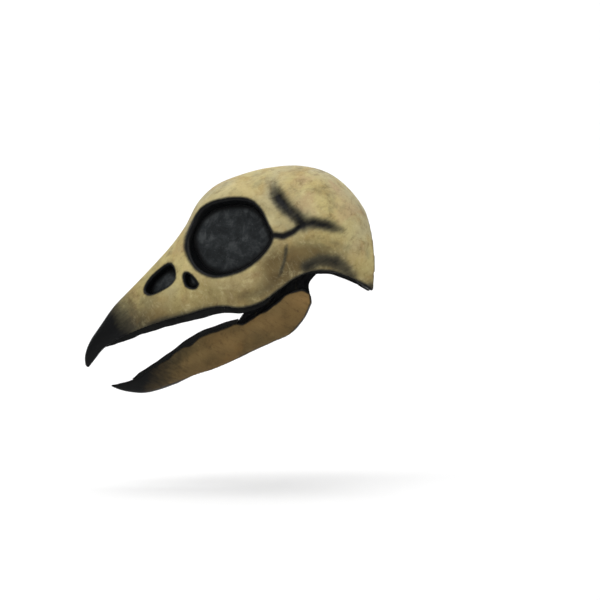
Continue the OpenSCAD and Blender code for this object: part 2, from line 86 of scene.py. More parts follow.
def add_area(name, place, target, size, watts):
    data = bpy.data.lights.new(name, "AREA")
    data.shape = "SQUARE"
    data.size = size
    data.energy = watts
    obj = bpy.data.objects.new(name, data)
    bpy.context.collection.objects.link(obj)
    aim(obj, place, target)


# ---------------------------------------------------------------- the form, in millimetres
# One row for each section of the skull, from the beak tip over the crown to the rear edge, as in the design:
# top y, z; lip y, z; half width at the lip; greatest half width; its height as a share; squareness
SKULL = np.array([
    [-301, -162, -296.5, -166.5, 2.2, 2.6, 0.30, 2.0],
    [-301, -148, -288, -155.5, 5.5, 6.2, 0.25, 2.0],
    [-294, -129, -276, -140.5, 9.3, 10, 0.20, 1.95],
    [-280, -108, -261, -130.5, 13.6, 14.4, 0.18, 1.9],
    [-261, -81, -243.6, -121.5, 19, 19.8, 0.16, 1.85],
    [-237, -56, -225, -113, 25.5, 26.3, 0.15, 1.85],
    [-210, -28, -205, -105.5, 33, 34, 0.15, 1.85],
    [-181, 4, -180, -98, 41.5, 43, 0.18, 1.9],
    [-160, 33, -155, -91.5, 50, 52.5, 0.22, 1.95],
    [-143, 65, -130, -84, 58.5, 63, 0.28, 2.0],
    [-118, 89, -105, -81, 66.5, 73.5, 0.34, 2.1],
    [-84, 103.6, -80, -83, 73.5, 83, 0.40, 2.15],
    [-45, 113.5, -52, -75, 80, 91, 0.42, 2.2],
    [0, 116.5, -28, -58, 85, 96.5, 0.40, 2.2],
    [42, 105, -4, -41, 88, 99, 0.36, 2.35],
    [76, 75, 20, -33.5, 89, 98, 0.32, 2.7],
    [102.5, 29, 45, -35, 88, 94.5, 0.28, 3.1],
    [115, -20, 72, -45, 84, 87.5, 0.25, 3.4],
    [114, -62, 97, -58.5, 75, 76, 0.20, 3.4],
])
# One row for each section of the jaw, from its tip to its rear edge:
# top edge y, z; bottom y, z; half width; squareness
JAW = np.array([
    [-265, -190, -264.5, -192.5, 2, 2],
    [-252, -187.5, -251, -197.6, 5, 2],
    [-240, -184.5, -236, -200.6, 8.2, 2.1],
    [-226, -177, -217, -201.6, 12.5, 2.2],
    [-208, -167, -196, -196.8, 18, 2.4],
    [-186, -153, -172, -188.3, 25, 2.8],
    [-160, -134.5, -145, -178.8, 33, 3.5],
    [-131, -118.5, -117, -169.5, 42.5, 4.5],
    [-101, -107.5, -89, -156.5, 53.5, 5.5],
    [-71, -98, -61, -142.5, 64.5, 6.5],
    [-44, -83, -34, -130.5, 74, 7.5],
    [-20, -64, -11, -119.5, 80, 8],
    [3, -55.5, 7, -98, 83, 8],
    [15, -63, 16.5, -76, 83, 8],
])
SKULL_END = len(SKULL) - 1
JAW_END = len(JAW) - 1
SIDE_SHARE = 0.3
SKULL_T = 3.0
JAW_T = 2.6
GLUE = 0.6
LINING_T = 1.8
JAW_LINING_T = 1.6


def station(table, u):
    """Row u of a station table, through smooth curves and straight on past its ends."""
    rows = np.vstack([2 * table[0] - table[1], table, 2 * table[-1] - table[-2]])
    i = np.clip(np.floor(u).astype(int), 0, len(table) - 2)
    t = (u - i)[..., None]
    a, b, c, d = rows[i], rows[i + 1], rows[i + 2], rows[i + 3]
    return 0.5 * (2 * b + (c - a) * t + (2 * a - 5 * b + 4 * c - d) * t**2 + (3 * b - a - 3 * c + d) * t**3)


def skull_point(u, w):
    s = station(SKULL, u)
    v = 1 - np.abs(w)
    f = v / SIDE_SHARE
    a = np.clip((v - SIDE_SHARE) / (1 - SIDE_SHARE), 0, 1) * math.pi / 2
    e = 2 / s[..., 7]
    low = v < SIDE_SHARE
    rise = np.where(low, s[..., 6] * f, s[..., 6] + (1 - s[..., 6]) * np.sin(a) ** e)
    x_low = s[..., 5] - (s[..., 5] - s[..., 4]) * (1 - f) ** 2
    x = np.where(low, x_low, s[..., 5] * np.maximum(np.cos(a), 0) ** e)
    y = s[..., 2] + (s[..., 0] - s[..., 2]) * rise
    z = s[..., 3] + (s[..., 1] - s[..., 3]) * rise
    return np.stack([np.sign(w) * x, y, z], -1)


def jaw_point(u, w):
    s = station(JAW, u)
    a = np.pi / 2 * (1 - np.abs(w))
    e = 2 / s[..., 5]
    drop = np.sin(a) ** e
    x = np.sign(w) * s[..., 4] * np.maximum(np.cos(a), 0) ** e
    return np.stack([x, s[..., 0] + (s[..., 2] - s[..., 0]) * drop, s[..., 1] + (s[..., 3] - s[..., 1]) * drop], -1)


def unit(v):
    return v / np.maximum(np.linalg.norm(v, axis=-1, keepdims=True), 1e-9)


def outward(point, u, w):
    h = 0.004
    c = np.clip(w, h - 1, 1 - h)
    return unit(np.cross(point(u, c + h) - point(u, c - h), point(u + h, c) - point(u - h, c)))


def skull_face(u, w, d):
    """Point at depth d below the skull's outer face. Where w is beyond 1 it runs on past the lip, in mm."""
    u, w, d = np.broadcast_arrays(*(np.asarray(v, float) for v in (u, w, d)))
    c = np.clip(w, -1, 1)
    s = station(SKULL, u)
    way = unit(np.stack([0 * u, s[..., 2] - s[..., 0], s[..., 3] - s[..., 1]], -1))
    return skull_point(u, c) - d[..., None] * outward(skull_point, u, c) + (np.abs(w) - np.abs(c))[..., None] * 100 * way


def jaw_face(u, w, d):
    u, w, d = np.broadcast_arrays(*(np.asarray(v, float) for v in (u, w, d)))
    c = np.clip(w, -1, 1)
    s = station(JAW, u)
    way = unit(np.stack([0 * u, s[..., 0] - s[..., 2], s[..., 1] - s[..., 3]], -1))
    return jaw_point(u, c) + d[..., None] * outward(jaw_point, u, c) + (np.abs(w) - np.abs(c))[..., None] * 100 * way


def smooth_loop(points, per=6):
    """Closed smooth outline through a few points."""
    p = np.array(points, float)
    t = np.arange(per)[:, None] / per
    out = []
    for i in range(len(p)):
        a, b, c, d = p[i - 1], p[i], p[(i + 1) % len(p)], p[(i + 2) % len(p)]
        out.append(0.5 * (2 * b + (c - a) * t + (2 * a - 5 * b + 4 * c - d) * t**2 + (3 * b - a - 3 * c + d) * t**3))
    return np.vstack(out)


# Openings in the skull: place on the face, depth and outline, with x to the back and y up
EYE = (10.4, 0.573, 24, smooth_loop([
    [-67, -4], [-58, 25], [-36, 44], [-5, 51.5], [25, 49.5], [45, 36.5], [58, 15], [65, -2],
    [55, -22], [33, -41], [8, -52], [-20, -55], [-48, -40]]))
NOSTRIL = (6.5, 0.403, 12, smooth_loop([
    [-22, -14], [-16, 3], [3, 19], [16, 20], [24, 8], [21, -5], [6, -15], [-14, -22]]))
FENESTRA = (8.2, 0.623, 9, smooth_loop([[-9, 7], [0, 8], [12, -3], [9, -11], [-4, -8]]))
HOLES = {"eye": EYE, "nostril": NOSTRIL, "fenestra": FENESTRA}


def hole_axes(hole):
    """Origin and the back, up and outward directions of an opening."""
    u, w = np.array(hole[0]), np.array(hole[1])
    n = outward(skull_point, u, w)
    back = unit(np.cross([0, 0, 1], n))
    return skull_point(u, w), back, np.cross(n, back), n


# ---------------------------------------------------------------- distance fields
def segments_distance(y, z, line):
    """Distance in the side plane from points to an open line, and how far along it the nearest point is."""
    best = np.full(y.shape, 1e9)
    along = np.zeros(y.shape)
    line = np.array(line, float)
    lengths = np.linalg.norm(np.diff(line, axis=0), axis=1)
    total = lengths.sum()
    run = 0.0
    for a, b, length in zip(line[:-1], line[1:], lengths):
        t = np.clip(((y - a[0]) * (b[0] - a[0]) + (z - a[1]) * (b[1] - a[1])) / length**2, 0, 1)
        d = np.hypot(y - a[0] - t * (b[0] - a[0]), z - a[1] - t * (b[1] - a[1]))
        nearer = d < best
        best = np.where(nearer, d, best)
        along = np.where(nearer, (run + t * length) / total, along)
        run += length
    return best, along


def polygon_distance(x, y, loop):
    """Signed distance to a closed outline, negative inside."""
    best = np.full(x.shape, 1e9)
    inside = np.zeros(x.shape, bool)
    for (ax, ay), (bx, by) in zip(loop, np.roll(loop, -1, axis=0)):
        length2 = (bx - ax) ** 2 + (by - ay) ** 2
        t = np.clip(((x - ax) * (bx - ax) + (y - ay) * (by - ay)) / length2, 0, 1)
        best = np.minimum(best, (x - ax - t * (bx - ax)) ** 2 + (y - ay - t * (by - ay)) ** 2)
        crosses = (ay > y) != (by > y)
        if by != ay:
            inside ^= crosses & (x < (bx - ax) * (y - ay) / (by - ay) + ax)
    return np.where(inside, -1, 1) * np.sqrt(best)


def smooth_max(a, b, k):
    h = np.clip(0.5 + 0.5 * (a - b) / k, 0, 1)
    return b + (a - b) * h + k * h * (1 - h)


class Field:
    """A box of voxels that holds a signed distance in mm."""

    def __init__(self, low, high, voxel):
        self.voxel = voxel
        self.low = np.floor(np.array(low) / voxel).astype(int)
        self.shape = tuple(np.ceil(np.array(high) / voxel).astype(int) - self.low + 1)
        self.transform = vdb.createLinearTransform(voxelSize=voxel)
        self.x, self.y, self.z = np.meshgrid(
            *[((np.arange(n) + low) * voxel).astype(np.float32) for n, low in zip(self.shape, self.low)],
            indexing="ij", sparse=True)

    def closed(self, rings):
        """Distance to the closed body through rings of points."""
        n, m = rings.shape[:2]
        ring = np.arange(m)
        index = np.arange(n)[:, None] * m + ring
        nxt = np.arange(n)[:, None] * m + (ring + 1) % m
        quads = np.stack([index[:-1], index[1:], nxt[1:], nxt[:-1]], -1).reshape(-1, 4)
        middles = [(r.min(0) + r.max(0)) / 2 for r in (rings[0], rings[-1])]
        points = np.vstack([rings.reshape(-1, 3), middles]).astype(np.float32)
        tris = [[n * m, a, b] for a, b in zip(ring, (ring + 1) % m)]
        last = (n - 1) * m
        tris += [[n * m + 1, last + b, last + a] for a, b in zip(ring, (ring + 1) % m)]
        grid = vdb.FloatGrid.createLevelSetFromPolygons(
            points, triangles=np.array(tris, np.uint32), quads=quads.astype(np.uint32),
            transform=self.transform, halfWidth=10.0)
        array = np.full(self.shape, 10 * self.voxel, np.float32)
        grid.copyToArray(array, ijk=tuple(int(v) for v in self.low))
        return array

    def mesh(self, name, array):
        grid = vdb.FloatGrid(float(array.max()))
        grid.copyFromArray(np.ascontiguousarray(array, np.float32), ijk=tuple(int(v) for v in self.low))
        grid.transform = self.transform
        points, quads = grid.convertToQuads()
        return new_mesh(name, points, quads)


def new_mesh(name, points, faces):
    mesh = bpy.data.meshes.new(name)
    points = np.asarray(points, float) * MM
    mesh.from_pydata(points.tolist(), [], [list(map(int, f)) for f in faces])
    mesh.update()
    obj = bpy.data.objects.new(name, mesh)
    bpy.context.collection.objects.link(obj)
    tris = np.array([(t.vertices[0], t.vertices[1], t.vertices[2]) for t in mesh.loop_triangles], int)
    if len(tris):
        p = points[tris]
        if np.einsum("ij,ij->i", p[:, 0], np.cross(p[:, 1], p[:, 2])).sum() < 0:
            mesh.flip_normals()
    mesh.shade_smooth()
    return obj


def points_of(obj):
    co = np.empty(len(obj.data.vertices) * 3)
    obj.data.vertices.foreach_get("co", co)
    return co.reshape(-1, 3) / MM


def set_attribute(obj, name, values):
    layer = obj.data.attributes.new(name, "FLOAT", "POINT")
    layer.data.foreach_set("value", np.asarray(values, np.float32))


# ---------------------------------------------------------------- modelled relief of the skull's sides
def bell(d, half):
    return np.exp(-(d / half) ** 2)


def falls(t, start, end):
    """1 up to start, 0 from end on."""
    return np.clip((end - t) / (end - start), 0, 1)


# Lines on the side of the skull, as y and z
TEMPORAL_UPPER = [(-37.8, 102.2), (-35, 81.2), (-28, 64.4), (-18.2, 53.2), (-7, 44.8), (4.2, 32.2)]
TEMPORAL_REAR = [(4.2, 32.2), (16.8, 33.6), (37.8, 30), (58, 23), (74, 15)]
TEMPORAL_FRONT = [(-40.6, 16.8), (-22.4, 15.4), (-9.8, 21), (0, 28.6), (4.2, 32.2)]
POSTORBITAL = [(-53.2, 61.6), (-35, 51.8), (-18, 40), (-5.6, 29.4)]
CHEEK_CREASE = [(-17.5, 10), (-19, -5), (-21, -18), (-27, -37), (-38, -51)]
ZYGOMATIC = [(-128, -52), (-108, -48), (-80, -52), (-52, -47), (-32, -31), (-15, -17), (10, -4), (34, -4)]
HOLLOW_REAR = [(10, -26), (26, -17), (44, -19), (58, -26), (70, -40)]
BEAK_EDGE = [(-262, -118), (-236, -107), (-205, -98), (-180, -91), (-150, -83), (-128, -76)]
NARIAL = [(-232, -74), (-216, -60), (-200, -48), (-186, -32), (-176, -10), (-166, 12)]
EYE_LOOP = smooth_loop([(-101 + a, 17 + b) for a, b in [
    (-62, -5), (-56, 15), (-47, 25), (-32, 36), (-12, 48), (6, 53), (24, 52), (41, 41), (52, 21), (60, -1),
    (52, -18), (31, -38), (11, -50), (-11, -55), (-35, -49), (-53, -35)]], 4)
NOSTRIL_LOOP = smooth_loop([(-194.6 + a, -42 + b) for a, b in [
    (-15.4, 1.4), (-7, 10), (3, 18), (14, 19), (20.4, 10), (21, -1.4), (7, -12.6), (-4, -19), (-15, -20),
    (-20.4, -12.6)]], 4)
FENESTRA_LOOP = smooth_loop([(-152.6 + a, -43.4 + b) for a, b in [
    (-7, 9), (-1.4, 7.8), (12.6, -5.6), (5.6, -10.6), (-4.2, -6.2), (-8.4, 2.8)]], 4)


def relief(y, z):
    """Height in mm that the sides stand above the plain form, and the painted shade brushed into its grooves and
    hollows and into its openings.
    """
    height = np.zeros(y.shape)
    dark = np.zeros(y.shape)

    def line(points, half, up, black_paint_and_shade=0.0, shade_half=None, start=0.0, end=0.0):
        nonlocal height, dark
        d, t = segments_distance(y, z, points)
        fade = np.ones(y.shape)
        if start:
            fade = fade * np.clip(t / start, 0, 1)
        if end:
            fade = fade * np.clip((1 - t) / end, 0, 1)
        height = height + up * bell(d, half) * fade
        if black_paint_and_shade:
            dark = np.maximum(dark, black_paint_and_shade * bell(d, shade_half or half) * fade)

    # Where a line has a fourth and fifth value, they brush painted shade into its groove or hollow, and say how wide
    line(TEMPORAL_UPPER, 6.5, -3.6, 0.9, 11.5, start=0.4)
    line(TEMPORAL_REAR, 5.5, -3.0, 0.86, 9.5, end=0.5)
    line(TEMPORAL_FRONT, 3.2, -3.2, 0.98, 5.2, start=0.05)
    line([(-24, 66), (-12, 52), (2, 42)], 10, -1.6, 0.5, 12)
    line([(0, 36), (12, 36)], 9, 0, 0.55, 9)
    line(POSTORBITAL, 8, 3.4)
    line([(-30, 84), (-14, 66), (6, 50), (26, 46)], 14, 1.6)
    line(CHEEK_CREASE, 3.2, -2.2, 0.55, 3.6, start=0.2, end=0.35)
    line([(a + 6, b - 1) for a, b in CHEEK_CREASE], 3.4, 2.0, start=0.15, end=0.35)
    line(ZYGOMATIC, 10, 3.2, start=0.1, end=0.3)
    line([(a + 3, b + 14) for a, b in ZYGOMATIC[3:]], 7, -1.8, 0.18, 7, start=0.3, end=0.3)
    line([(a, b - 15) for a, b in ZYGOMATIC[1:6]], 8, -1.6, 0.3, 9, start=0.3, end=0.3)
    line(HOLLOW_REAR, 10, -2.6, 0.72, 11.5)
    line([(70, 60), (58, 40), (50, 20)], 16, 1.4)
    line(BEAK_EDGE, 5.5, 1.2)
    line(NARIAL, 7, 1.5, start=0.3, end=0.3)
    line([(a + 2, b - 11) for a, b in NARIAL[:4]], 6, -1.2, 0.22, 8, start=0.4)
    line([(-150, 40), (-134, 62), (-112, 78), (-84, 85), (-62, 80)], 8, 2.4, start=0.2, end=0.3)
    # Raised rims round the openings, and painted shade that deepens into them
    for loop, reach, lift, inset, spread in (
            (EYE_LOOP, 9, 2.2, 4.5, 5), (NOSTRIL_LOOP, 5, 1.0, 1, 3), (FENESTRA_LOOP, 4, 0.6, 1, 3)):
        d = polygon_distance(y, z, loop)
        height += lift * bell(d - 7 * reach / 9, reach)
        dark = np.maximum(dark, bell(np.maximum(d + inset, 0), spread))
    return np.where(height < -2, -2 - 1.5 * np.tanh((-height - 2) / 1.5), height), dark


def side_mask(x):
    """The relief belongs to the sides and fades out over the top of the crown."""
    return np.clip((np.abs(x) - 14) / 26, 0, 1)


def rings_of(face, us, first, count, depth, past):
    ws = np.linspace(first, -first, count + 1)
    if past:
        step = first * past / 100
        ws = np.concatenate([[first + step], ws, [-first - step]])
    u, w = np.meshgrid(us, ws, indexing="ij")
    return face(u, w, depth)


def tube(field, hole, grow, floor, taper=0.0):
    """Distance to the prism of an opening, grown, from its floor outwards. It narrows inwards by taper."""
    origin, back, up, n = hole_axes(hole)
    best = np.full(field.shape, 60.0, np.float32)
    corners = [origin + a * back + b * up + c * n for a in (-80, 80) for b in (-66, 66) for c in (-34, 34)]
    low, high = np.min(corners, 0), np.max(corners, 0)
    for side in (LEFT, RIGHT):
        lo, hi = low.copy(), high.copy()
        if side == RIGHT:
            lo[0], hi[0] = -high[0], -low[0]
        pick = []
        for axis in range(3):
            a = max(int(lo[axis] / field.voxel) - field.low[axis], 0)
            b = max(int(hi[axis] / field.voxel) - field.low[axis] + 1, 0)
            pick.append(slice(a, b))
        x = side * field.x[pick[0]] - origin[0]
        y = field.y[:, pick[1]] - origin[1]
        z = field.z[:, :, pick[2]] - origin[2]
        a = x * back[0] + y * back[1] + z * back[2]
        b = x * up[0] + y * up[1] + z * up[2]
        c = x * n[0] + y * n[1] + z * n[2]
        narrow = 1 - taper * np.clip(-c / hole[2], 0, 1.1) ** 2
        a, b = a / narrow, b / narrow
        # The outline's distance is read from a flat table at 1 mm
        ga, gb = np.meshgrid(np.arange(-84.0, 85), np.arange(-70.0, 71), indexing="ij")
        flat = polygon_distance(ga, gb, hole[3])
        ia = np.clip(a + 84, 0, 166.999)
        ib = np.clip(b + 70, 0, 138.999)
        a0, b0 = ia.astype(int), ib.astype(int)
        fa, fb = ia - a0, ib - b0
        outline = (flat[a0, b0] * (1 - fa) * (1 - fb) + flat[a0 + 1, b0] * fa * (1 - fb)
                   + flat[a0, b0 + 1] * (1 - fa) * fb + flat[a0 + 1, b0 + 1] * fa * fb)
        d = np.maximum(outline - grow, -c - floor)
        best[tuple(pick)] = np.minimum(best[tuple(pick)], d)
    return best


REAR_TRIM = [(92.5, 50), (97, 30), (100.3, 10), (102.3, -12), (102.6, -30), (101.3, -48), (99.4, -61.6),
             (98.5, -90), (160, -90), (160, 50)]
ARCH_HALF, ARCH_TOP, ARCH_RISE = 62, 48, 40


def build_skull():
    field = Field((-106, -308, -172), (106, 112, 124), 2.0)
    outer = field.closed(rings_of(skull_face, np.linspace(0, SKULL_END, 85), -1, 120, 0, 0))
    inner = field.closed(rings_of(skull_face, np.linspace(2, SKULL_END + 0.6, 90), -1, 96, SKULL_T, 16))
    y, z = np.broadcast_arrays(field.y[0], field.z[0])
    height, _ = relief(y, z)
    height = (height[None] * side_mask(field.x)).astype(np.float32)
    outer = outer - height
    inner = inner - np.minimum(height + 0.6, 0)
    hollow = -inner
    walls = np.full(field.shape, 60.0, np.float32)
    for hole in HOLES.values():
        walls = np.minimum(walls, tube(field, hole, 3, hole[2]))
    shell = np.maximum(outer, np.minimum(hollow, walls))
    for hole in HOLES.values():
        shell = smooth_max(shell, -tube(field, hole, -0.8, hole[2] + 1, 0.13), 3.2)
    # Opening at the rear
    arch = np.where(field.z < ARCH_TOP - ARCH_RISE, np.abs(field.x) - ARCH_HALF,
                    (np.hypot(field.x / ARCH_HALF, np.maximum(field.z - ARCH_TOP + ARCH_RISE, 0) / ARCH_RISE) - 1)
                    * ARCH_RISE)
    arch = np.maximum(arch, 60 - field.y)
    shell = smooth_max(shell, -arch, 2.6)
    trim = polygon_distance(y, z, REAR_TRIM)[None]
    shell = smooth_max(shell, -trim, 2.6)
    return field.mesh("skull_bone", shell)


# ---------------------------------------------------------------- jaw
CHIN_HALF = [(9, -166), (18, -150), (29, -118), (39, -90), (51, -61), (62, -34), (68, -11), (71, 8), (71, 60)]
JAW_TOP = [(row[0], row[1]) for row in JAW]
JAW_BOTTOM = [(row[2], row[3]) for row in JAW]


def curve_of(table, columns, count=160, end=None):
    us = np.linspace(0, len(table) - 1 if end is None else end, count)
    s = station(table, us)
    return [(a, b) for a, b in zip(s[:, columns[0]], s[:, columns[1]])]


def chips(y):
    """Uneven height of the jaw's upper edge."""
    return (0.9 * np.sin(y / 6.1 + 1.0) + 0.7 * np.sin(y / 3.3) * np.sin(y / 17 + 0.6)
            + 1.3 * np.maximum(np.sin(y / 11.5 + 2.2), 0) ** 3)


def jaw_relief(y, z):
    height = np.zeros(y.shape)
    d, _ = segments_distance(y, z, [(-236, -188), (-200, -178), (-150, -152), (-104, -133), (-60, -112), (-26, -92)])
    height += 1.3 * bell(d, 12)
    d, _ = segments_distance(y, z, [(-222, -181), (-186, -161), (-146, -138), (-112, -122)])
    height -= 1.0 * bell(d, 6)
    d, _ = segments_distance(y, z, [(-40, -84), (-14, -70), (2, -68)])
    height += 1.6 * bell(d, 7)
    d, _ = segments_distance(y, z, [(-70, -126), (-40, -112), (-18, -98)])
    height -= 1.0 * bell(d, 8)
    return height


def build_jaw():
    field = Field((-88, -270, -208), (88, 26, -44), 1.7)
    outer = field.closed(rings_of(jaw_face, np.linspace(0, JAW_END, 80), 1, 110, 0, 0))
    inner = field.closed(rings_of(jaw_face, np.linspace(2, JAW_END + 0.6, 80), 1, 90, JAW_T, 20))
    y, z = np.broadcast_arrays(field.y[0], field.z[0])
    height = (jaw_relief(y, z)[None] * np.clip((np.abs(field.x) - 6) / 14, 0, 1)).astype(np.float32)
    shell = np.maximum(outer - height, -(inner - np.clip(height, -1, 0)))
    half = np.array([(0, -171)] + CHIN_HALF + [(-a, b) for a, b in reversed(CHIN_HALF)], float)
    gx, gy = np.broadcast_arrays(field.x[:, :, 0], field.y[:, :, 0])
    floor = np.maximum(polygon_distance(gx, gy, half)[:, :, None], field.z + 65)
    shell = smooth_max(shell, -floor, 1.5)
    top, _ = segments_distance(y, z, curve_of(JAW, (0, 1)))
    loop = np.array(curve_of(JAW, (0, 1), 80) + curve_of(JAW, (2, 3), 80)[::-1])
    below = polygon_distance(y, z, loop)
    worn = np.where(below < 0, -top, top) + np.clip(chips(y), 0, 3) * np.clip((-20 - y) / 40, 0, 1)
    near_top = top < np.abs(segments_distance(y, z, curve_of(JAW, (2, 3)))[0])
    worn = np.where(near_top, worn, -20)
    return field.mesh("jaw_bone_piece", smooth_max(shell, worn[None].astype(np.float32), 1.2))


# ---------------------------------------------------------------- sheets and solids made as grids
def slab_points(face, us, ws, d0, d1):
    u, w = np.meshgrid(us, ws, indexing="ij")
    return face(u, w, d0), face(u, w, d1)


def grid_solid(name, near, far):
    """Closed solid between two grids of points with rounded-over edges left to modifiers."""
    nu, nw = near.shape[:2]
    size = nu * nw
    at = lambda i, j: i * nw + j
    faces = []
    for i in range(nu - 1):
        for j in range(nw - 1):
            faces.append((at(i, j), at(i + 1, j), at(i + 1, j + 1), at(i, j + 1)))
            faces.append(tuple(size + v for v in (at(i, j), at(i, j + 1), at(i + 1, j + 1), at(i + 1, j))))
    edge = ([at(0, j) for j in range(nw)] + [at(i, nw - 1) for i in range(1, nu)]
            + [at(nu - 1, j) for j in range(nw - 2, -1, -1)] + [at(i, 0) for i in range(nu - 2, 0, -1)])
    for a, b in zip(edge, edge[1:] + edge[:1]):
        faces.append((a, b, size + b, size + a))
    return new_mesh(name, np.vstack([near.reshape(-1, 3), far.reshape(-1, 3)]), faces)


def apply_modifiers(obj):
    graph = bpy.context.evaluated_depsgraph_get()
    mesh = bpy.data.meshes.new_from_object(obj.evaluated_get(graph))
    obj.modifiers.clear()
    old = obj.data
    obj.data = mesh
    bpy.data.meshes.remove(old)
    obj.data.shade_smooth()


def soften(obj, width, segments=2, levels=0):
    bevel = obj.modifiers.new("bevel", "BEVEL")
    bevel.width = width * MM
    bevel.segments = segments
    bevel.limit_method = "ANGLE"
    bevel.angle_limit = math.radians(40)
    bevel.harden_normals = False
    if levels:
        sub = obj.modifiers.new("subdivide", "SUBSURF")
        sub.levels = sub.render_levels = levels
    apply_modifiers(obj)


def lookup(v, pairs):
    return np.interp(v, [p[0] for p in pairs], [p[1] for p in pairs])


def lining_drop(u):
    return lookup(u, [(2.3, 3), (4, 7.5), (9, 11), (10, 9.5), (11.3, 7), (13, 3), (17.4, 2.5)])


def wobble(y, size=1.0):
    return size * (0.45 * np.sin(y / 7.3) + 0.35 * np.sin(y / 3.9 + 1.7) + 0.25 * np.sin(y / 2.3 + 0.4))


def lip_lining(side):
    us = np.linspace(10.012, 17.4, 90)
    ws = np.array([0.955, 0.965, 0.98, 1.0, 1.03, 1.06, 1.085, 1.1])

    def face(u, w, d):
        past = np.clip((w - 1) / 0.1, 0, 1)
        return skull_face(u, np.where(w > 1, 1 + past * (lining_drop(u) + wobble(u * 16, 0.8)) / 100, w), d)
    near, far = slab_points(face, us, ws, SKULL_T + GLUE, SKULL_T + GLUE + LINING_T)
    near[..., 0] *= side
    far[..., 0] *= side
    obj = grid_solid(("left" if side == LEFT else "right") + "_lip_rubber", near, far)
    soften(obj, 0.5)
    return obj


def palate_lining():
    """The upturned channel of the beak, whose two sides are joined by the roof of the mouth."""
    us = np.linspace(2.3, 10, 96)
    rise = 0.085
    out_d, in_d = SKULL_T + GLUE, SKULL_T + GLUE + LINING_T
    rings = []
    for u in us:
        drop = float(lining_drop(u)) + float(wobble(u * 17, 0.8))
        low = -1 - drop / 100
        down = [low, low + 0.25 * drop / 100, low + 0.6 * drop / 100, -1, -1 + 0.4 * rise, rise - 1]
        out = [skull_face(u, w, out_d) for w in down]
        s = station(SKULL, np.array(u))
        way = unit(np.array([0, s[2] - s[0], s[3] - s[1]]))
        inner = [skull_face(u, w, in_d) for w in down[:-1]] + [skull_face(u, rise - 1, in_d) + LINING_T * way]
        across = np.linspace(-1, 1, 9)[1:-1]
        flip = np.array([-1, 1, 1])
        arch = min(4.0, abs(out[-1][0]) * 0.12)
        roof = [out[-1] * np.array([-t, 1, 1]) - arch * (1 - t * t) * way for t in across]
        under = [inner[-1] * np.array([-t, 1, 1]) - arch * (1 - t * t) * way for t in across]
        rings.append(np.array(out + roof + [p * flip for p in reversed(out)]
                              + [p * flip for p in inner] + under[::-1] + inner[::-1]))
    rings = np.array(rings)
    n, m = rings.shape[:2]
    faces = [(i * m + j, (i + 1) * m + j, (i + 1) * m + (j + 1) % m, i * m + (j + 1) % m)
             for i in range(n - 1) for j in range(m)]
    for j in range(m // 2 - 1):
        k = m - 1 - j
        faces.append((j, j + 1, k - 1, k))
        last = (n - 1) * m
        faces.append((last + j, last + k, last + k - 1, last + j + 1))
    obj = new_mesh("palate_rubber", rings.reshape(-1, 3), faces)
    soften(obj, 0.5)
    return obj


def rim_rise(u):
    return lookup(u, [(2.4, 1.5), (4, 4), (6, 6), (8.35, 6)])


def jaw_lining():
    us = np.linspace(2.4, 8.43, 90)
    ws = np.concatenate([[1.1, 1.075, 1.04], np.linspace(1, -1, 73), [-1.04, -1.075, -1.1]])

    def face(u, w, d):
        past = (np.abs(w) - 1) / 0.1
        up = 1 + past * (rim_rise(u) + wobble(u * 15, 0.9)) / 100
        return jaw_face(u, np.where(past > 0, np.sign(w) * up, w), d)
    near, far = slab_points(face, us, ws, JAW_T + GLUE, JAW_T + GLUE + JAW_LINING_T)
    half = np.array([(0, -173.5)] + [(a + 2, b) for a, b in CHIN_HALF]
                    + [(-a - 2, b) for a, b in reversed(CHIN_HALF)], float)
    middle = (near + far) / 2
    keep = polygon_distance(middle[..., 0], middle[..., 1], half) > 0
    keep |= middle[..., 2] > -65
    # Each side strip ends where the opening begins
    nu, nw = near.shape[:2]
    size = nu * nw
    cells = keep[:-1, :-1] & keep[1:, :-1] & keep[:-1, 1:] & keep[1:, 1:]
    faces = []
    at = lambda i, j: i * nw + j
    for i in range(nu - 1):
        for j in range(nw - 1):
            if not cells[i, j]:
                continue
            a, b, c, d = at(i, j), at(i + 1, j), at(i + 1, j + 1), at(i, j + 1)
            faces += [(a, b, c, d), (size + a, size + d, size + c, size + b)]
            for p, q, (ii, jj) in ((a, b, (i, j - 1)), (b, c, (i + 1, j)), (c, d, (i, j + 1)), (d, a, (i - 1, j))):
                if not (0 <= ii < nu - 1 and 0 <= jj < nw - 1 and cells[ii, jj]):
                    faces.append((q, p, size + p, size + q))
    points = np.vstack([near.reshape(-1, 3), far.reshape(-1, 3)])
    used = sorted({v for f in faces for v in f})
    index = {v: k for k, v in enumerate(used)}
    obj = new_mesh("jaw_rubber", points[used], [[index[v] for v in f] for f in faces])
    soften(obj, 0.45)
    return obj


# ---------------------------------------------------------------- cheek gussets
def jaw_w(u, share):
    return 1 - np.degrees(np.arcsin(share ** (station(JAW, u)[..., 5] / 2))) / 90


def gusset_point(s, t):
    """Point of the gusset, from front (s=0) to rear (s=1) and from the skull (t=0) down to the jaw (t=3)."""
    u, v = 11.05 + 4.25 * s, 8.45 + 4.4 * s
    deep = SKULL_T + GLUE + LINING_T + 1.1
    line = np.stack([skull_face(u, 0.965 + 0 * u, deep), skull_face(u, 1 + (lining_drop(u) + 0.6) / 100, deep),
                     jaw_face(v, 1.01 + 0 * v, JAW_T + 0.4), jaw_face(v, jaw_w(v, 0.07), JAW_T + 0.4)])
    i = np.minimum(np.floor(t).astype(int), 2)
    a = np.take_along_axis(line, i[None, ..., None], 0)[0]
    b = np.take_along_axis(line, i[None, ..., None] + 1, 0)[0]
    free = np.where(i == 1, np.sin(np.pi * (t - 1)), 0)
    # Slack folds run from the skull down to the jaw and a little forwards
    folds = free * (1.0 * np.sin(34 * s + 3 * (t - 1)) + 0.55 * np.sin(71 * s - 2 * (t - 1) + 1))
    point = a + (b - a) * (t - i)[..., None]
    return point - np.stack([0.6 + 0.9 * free + folds, 6 * free * s * s, 0 * s], -1)


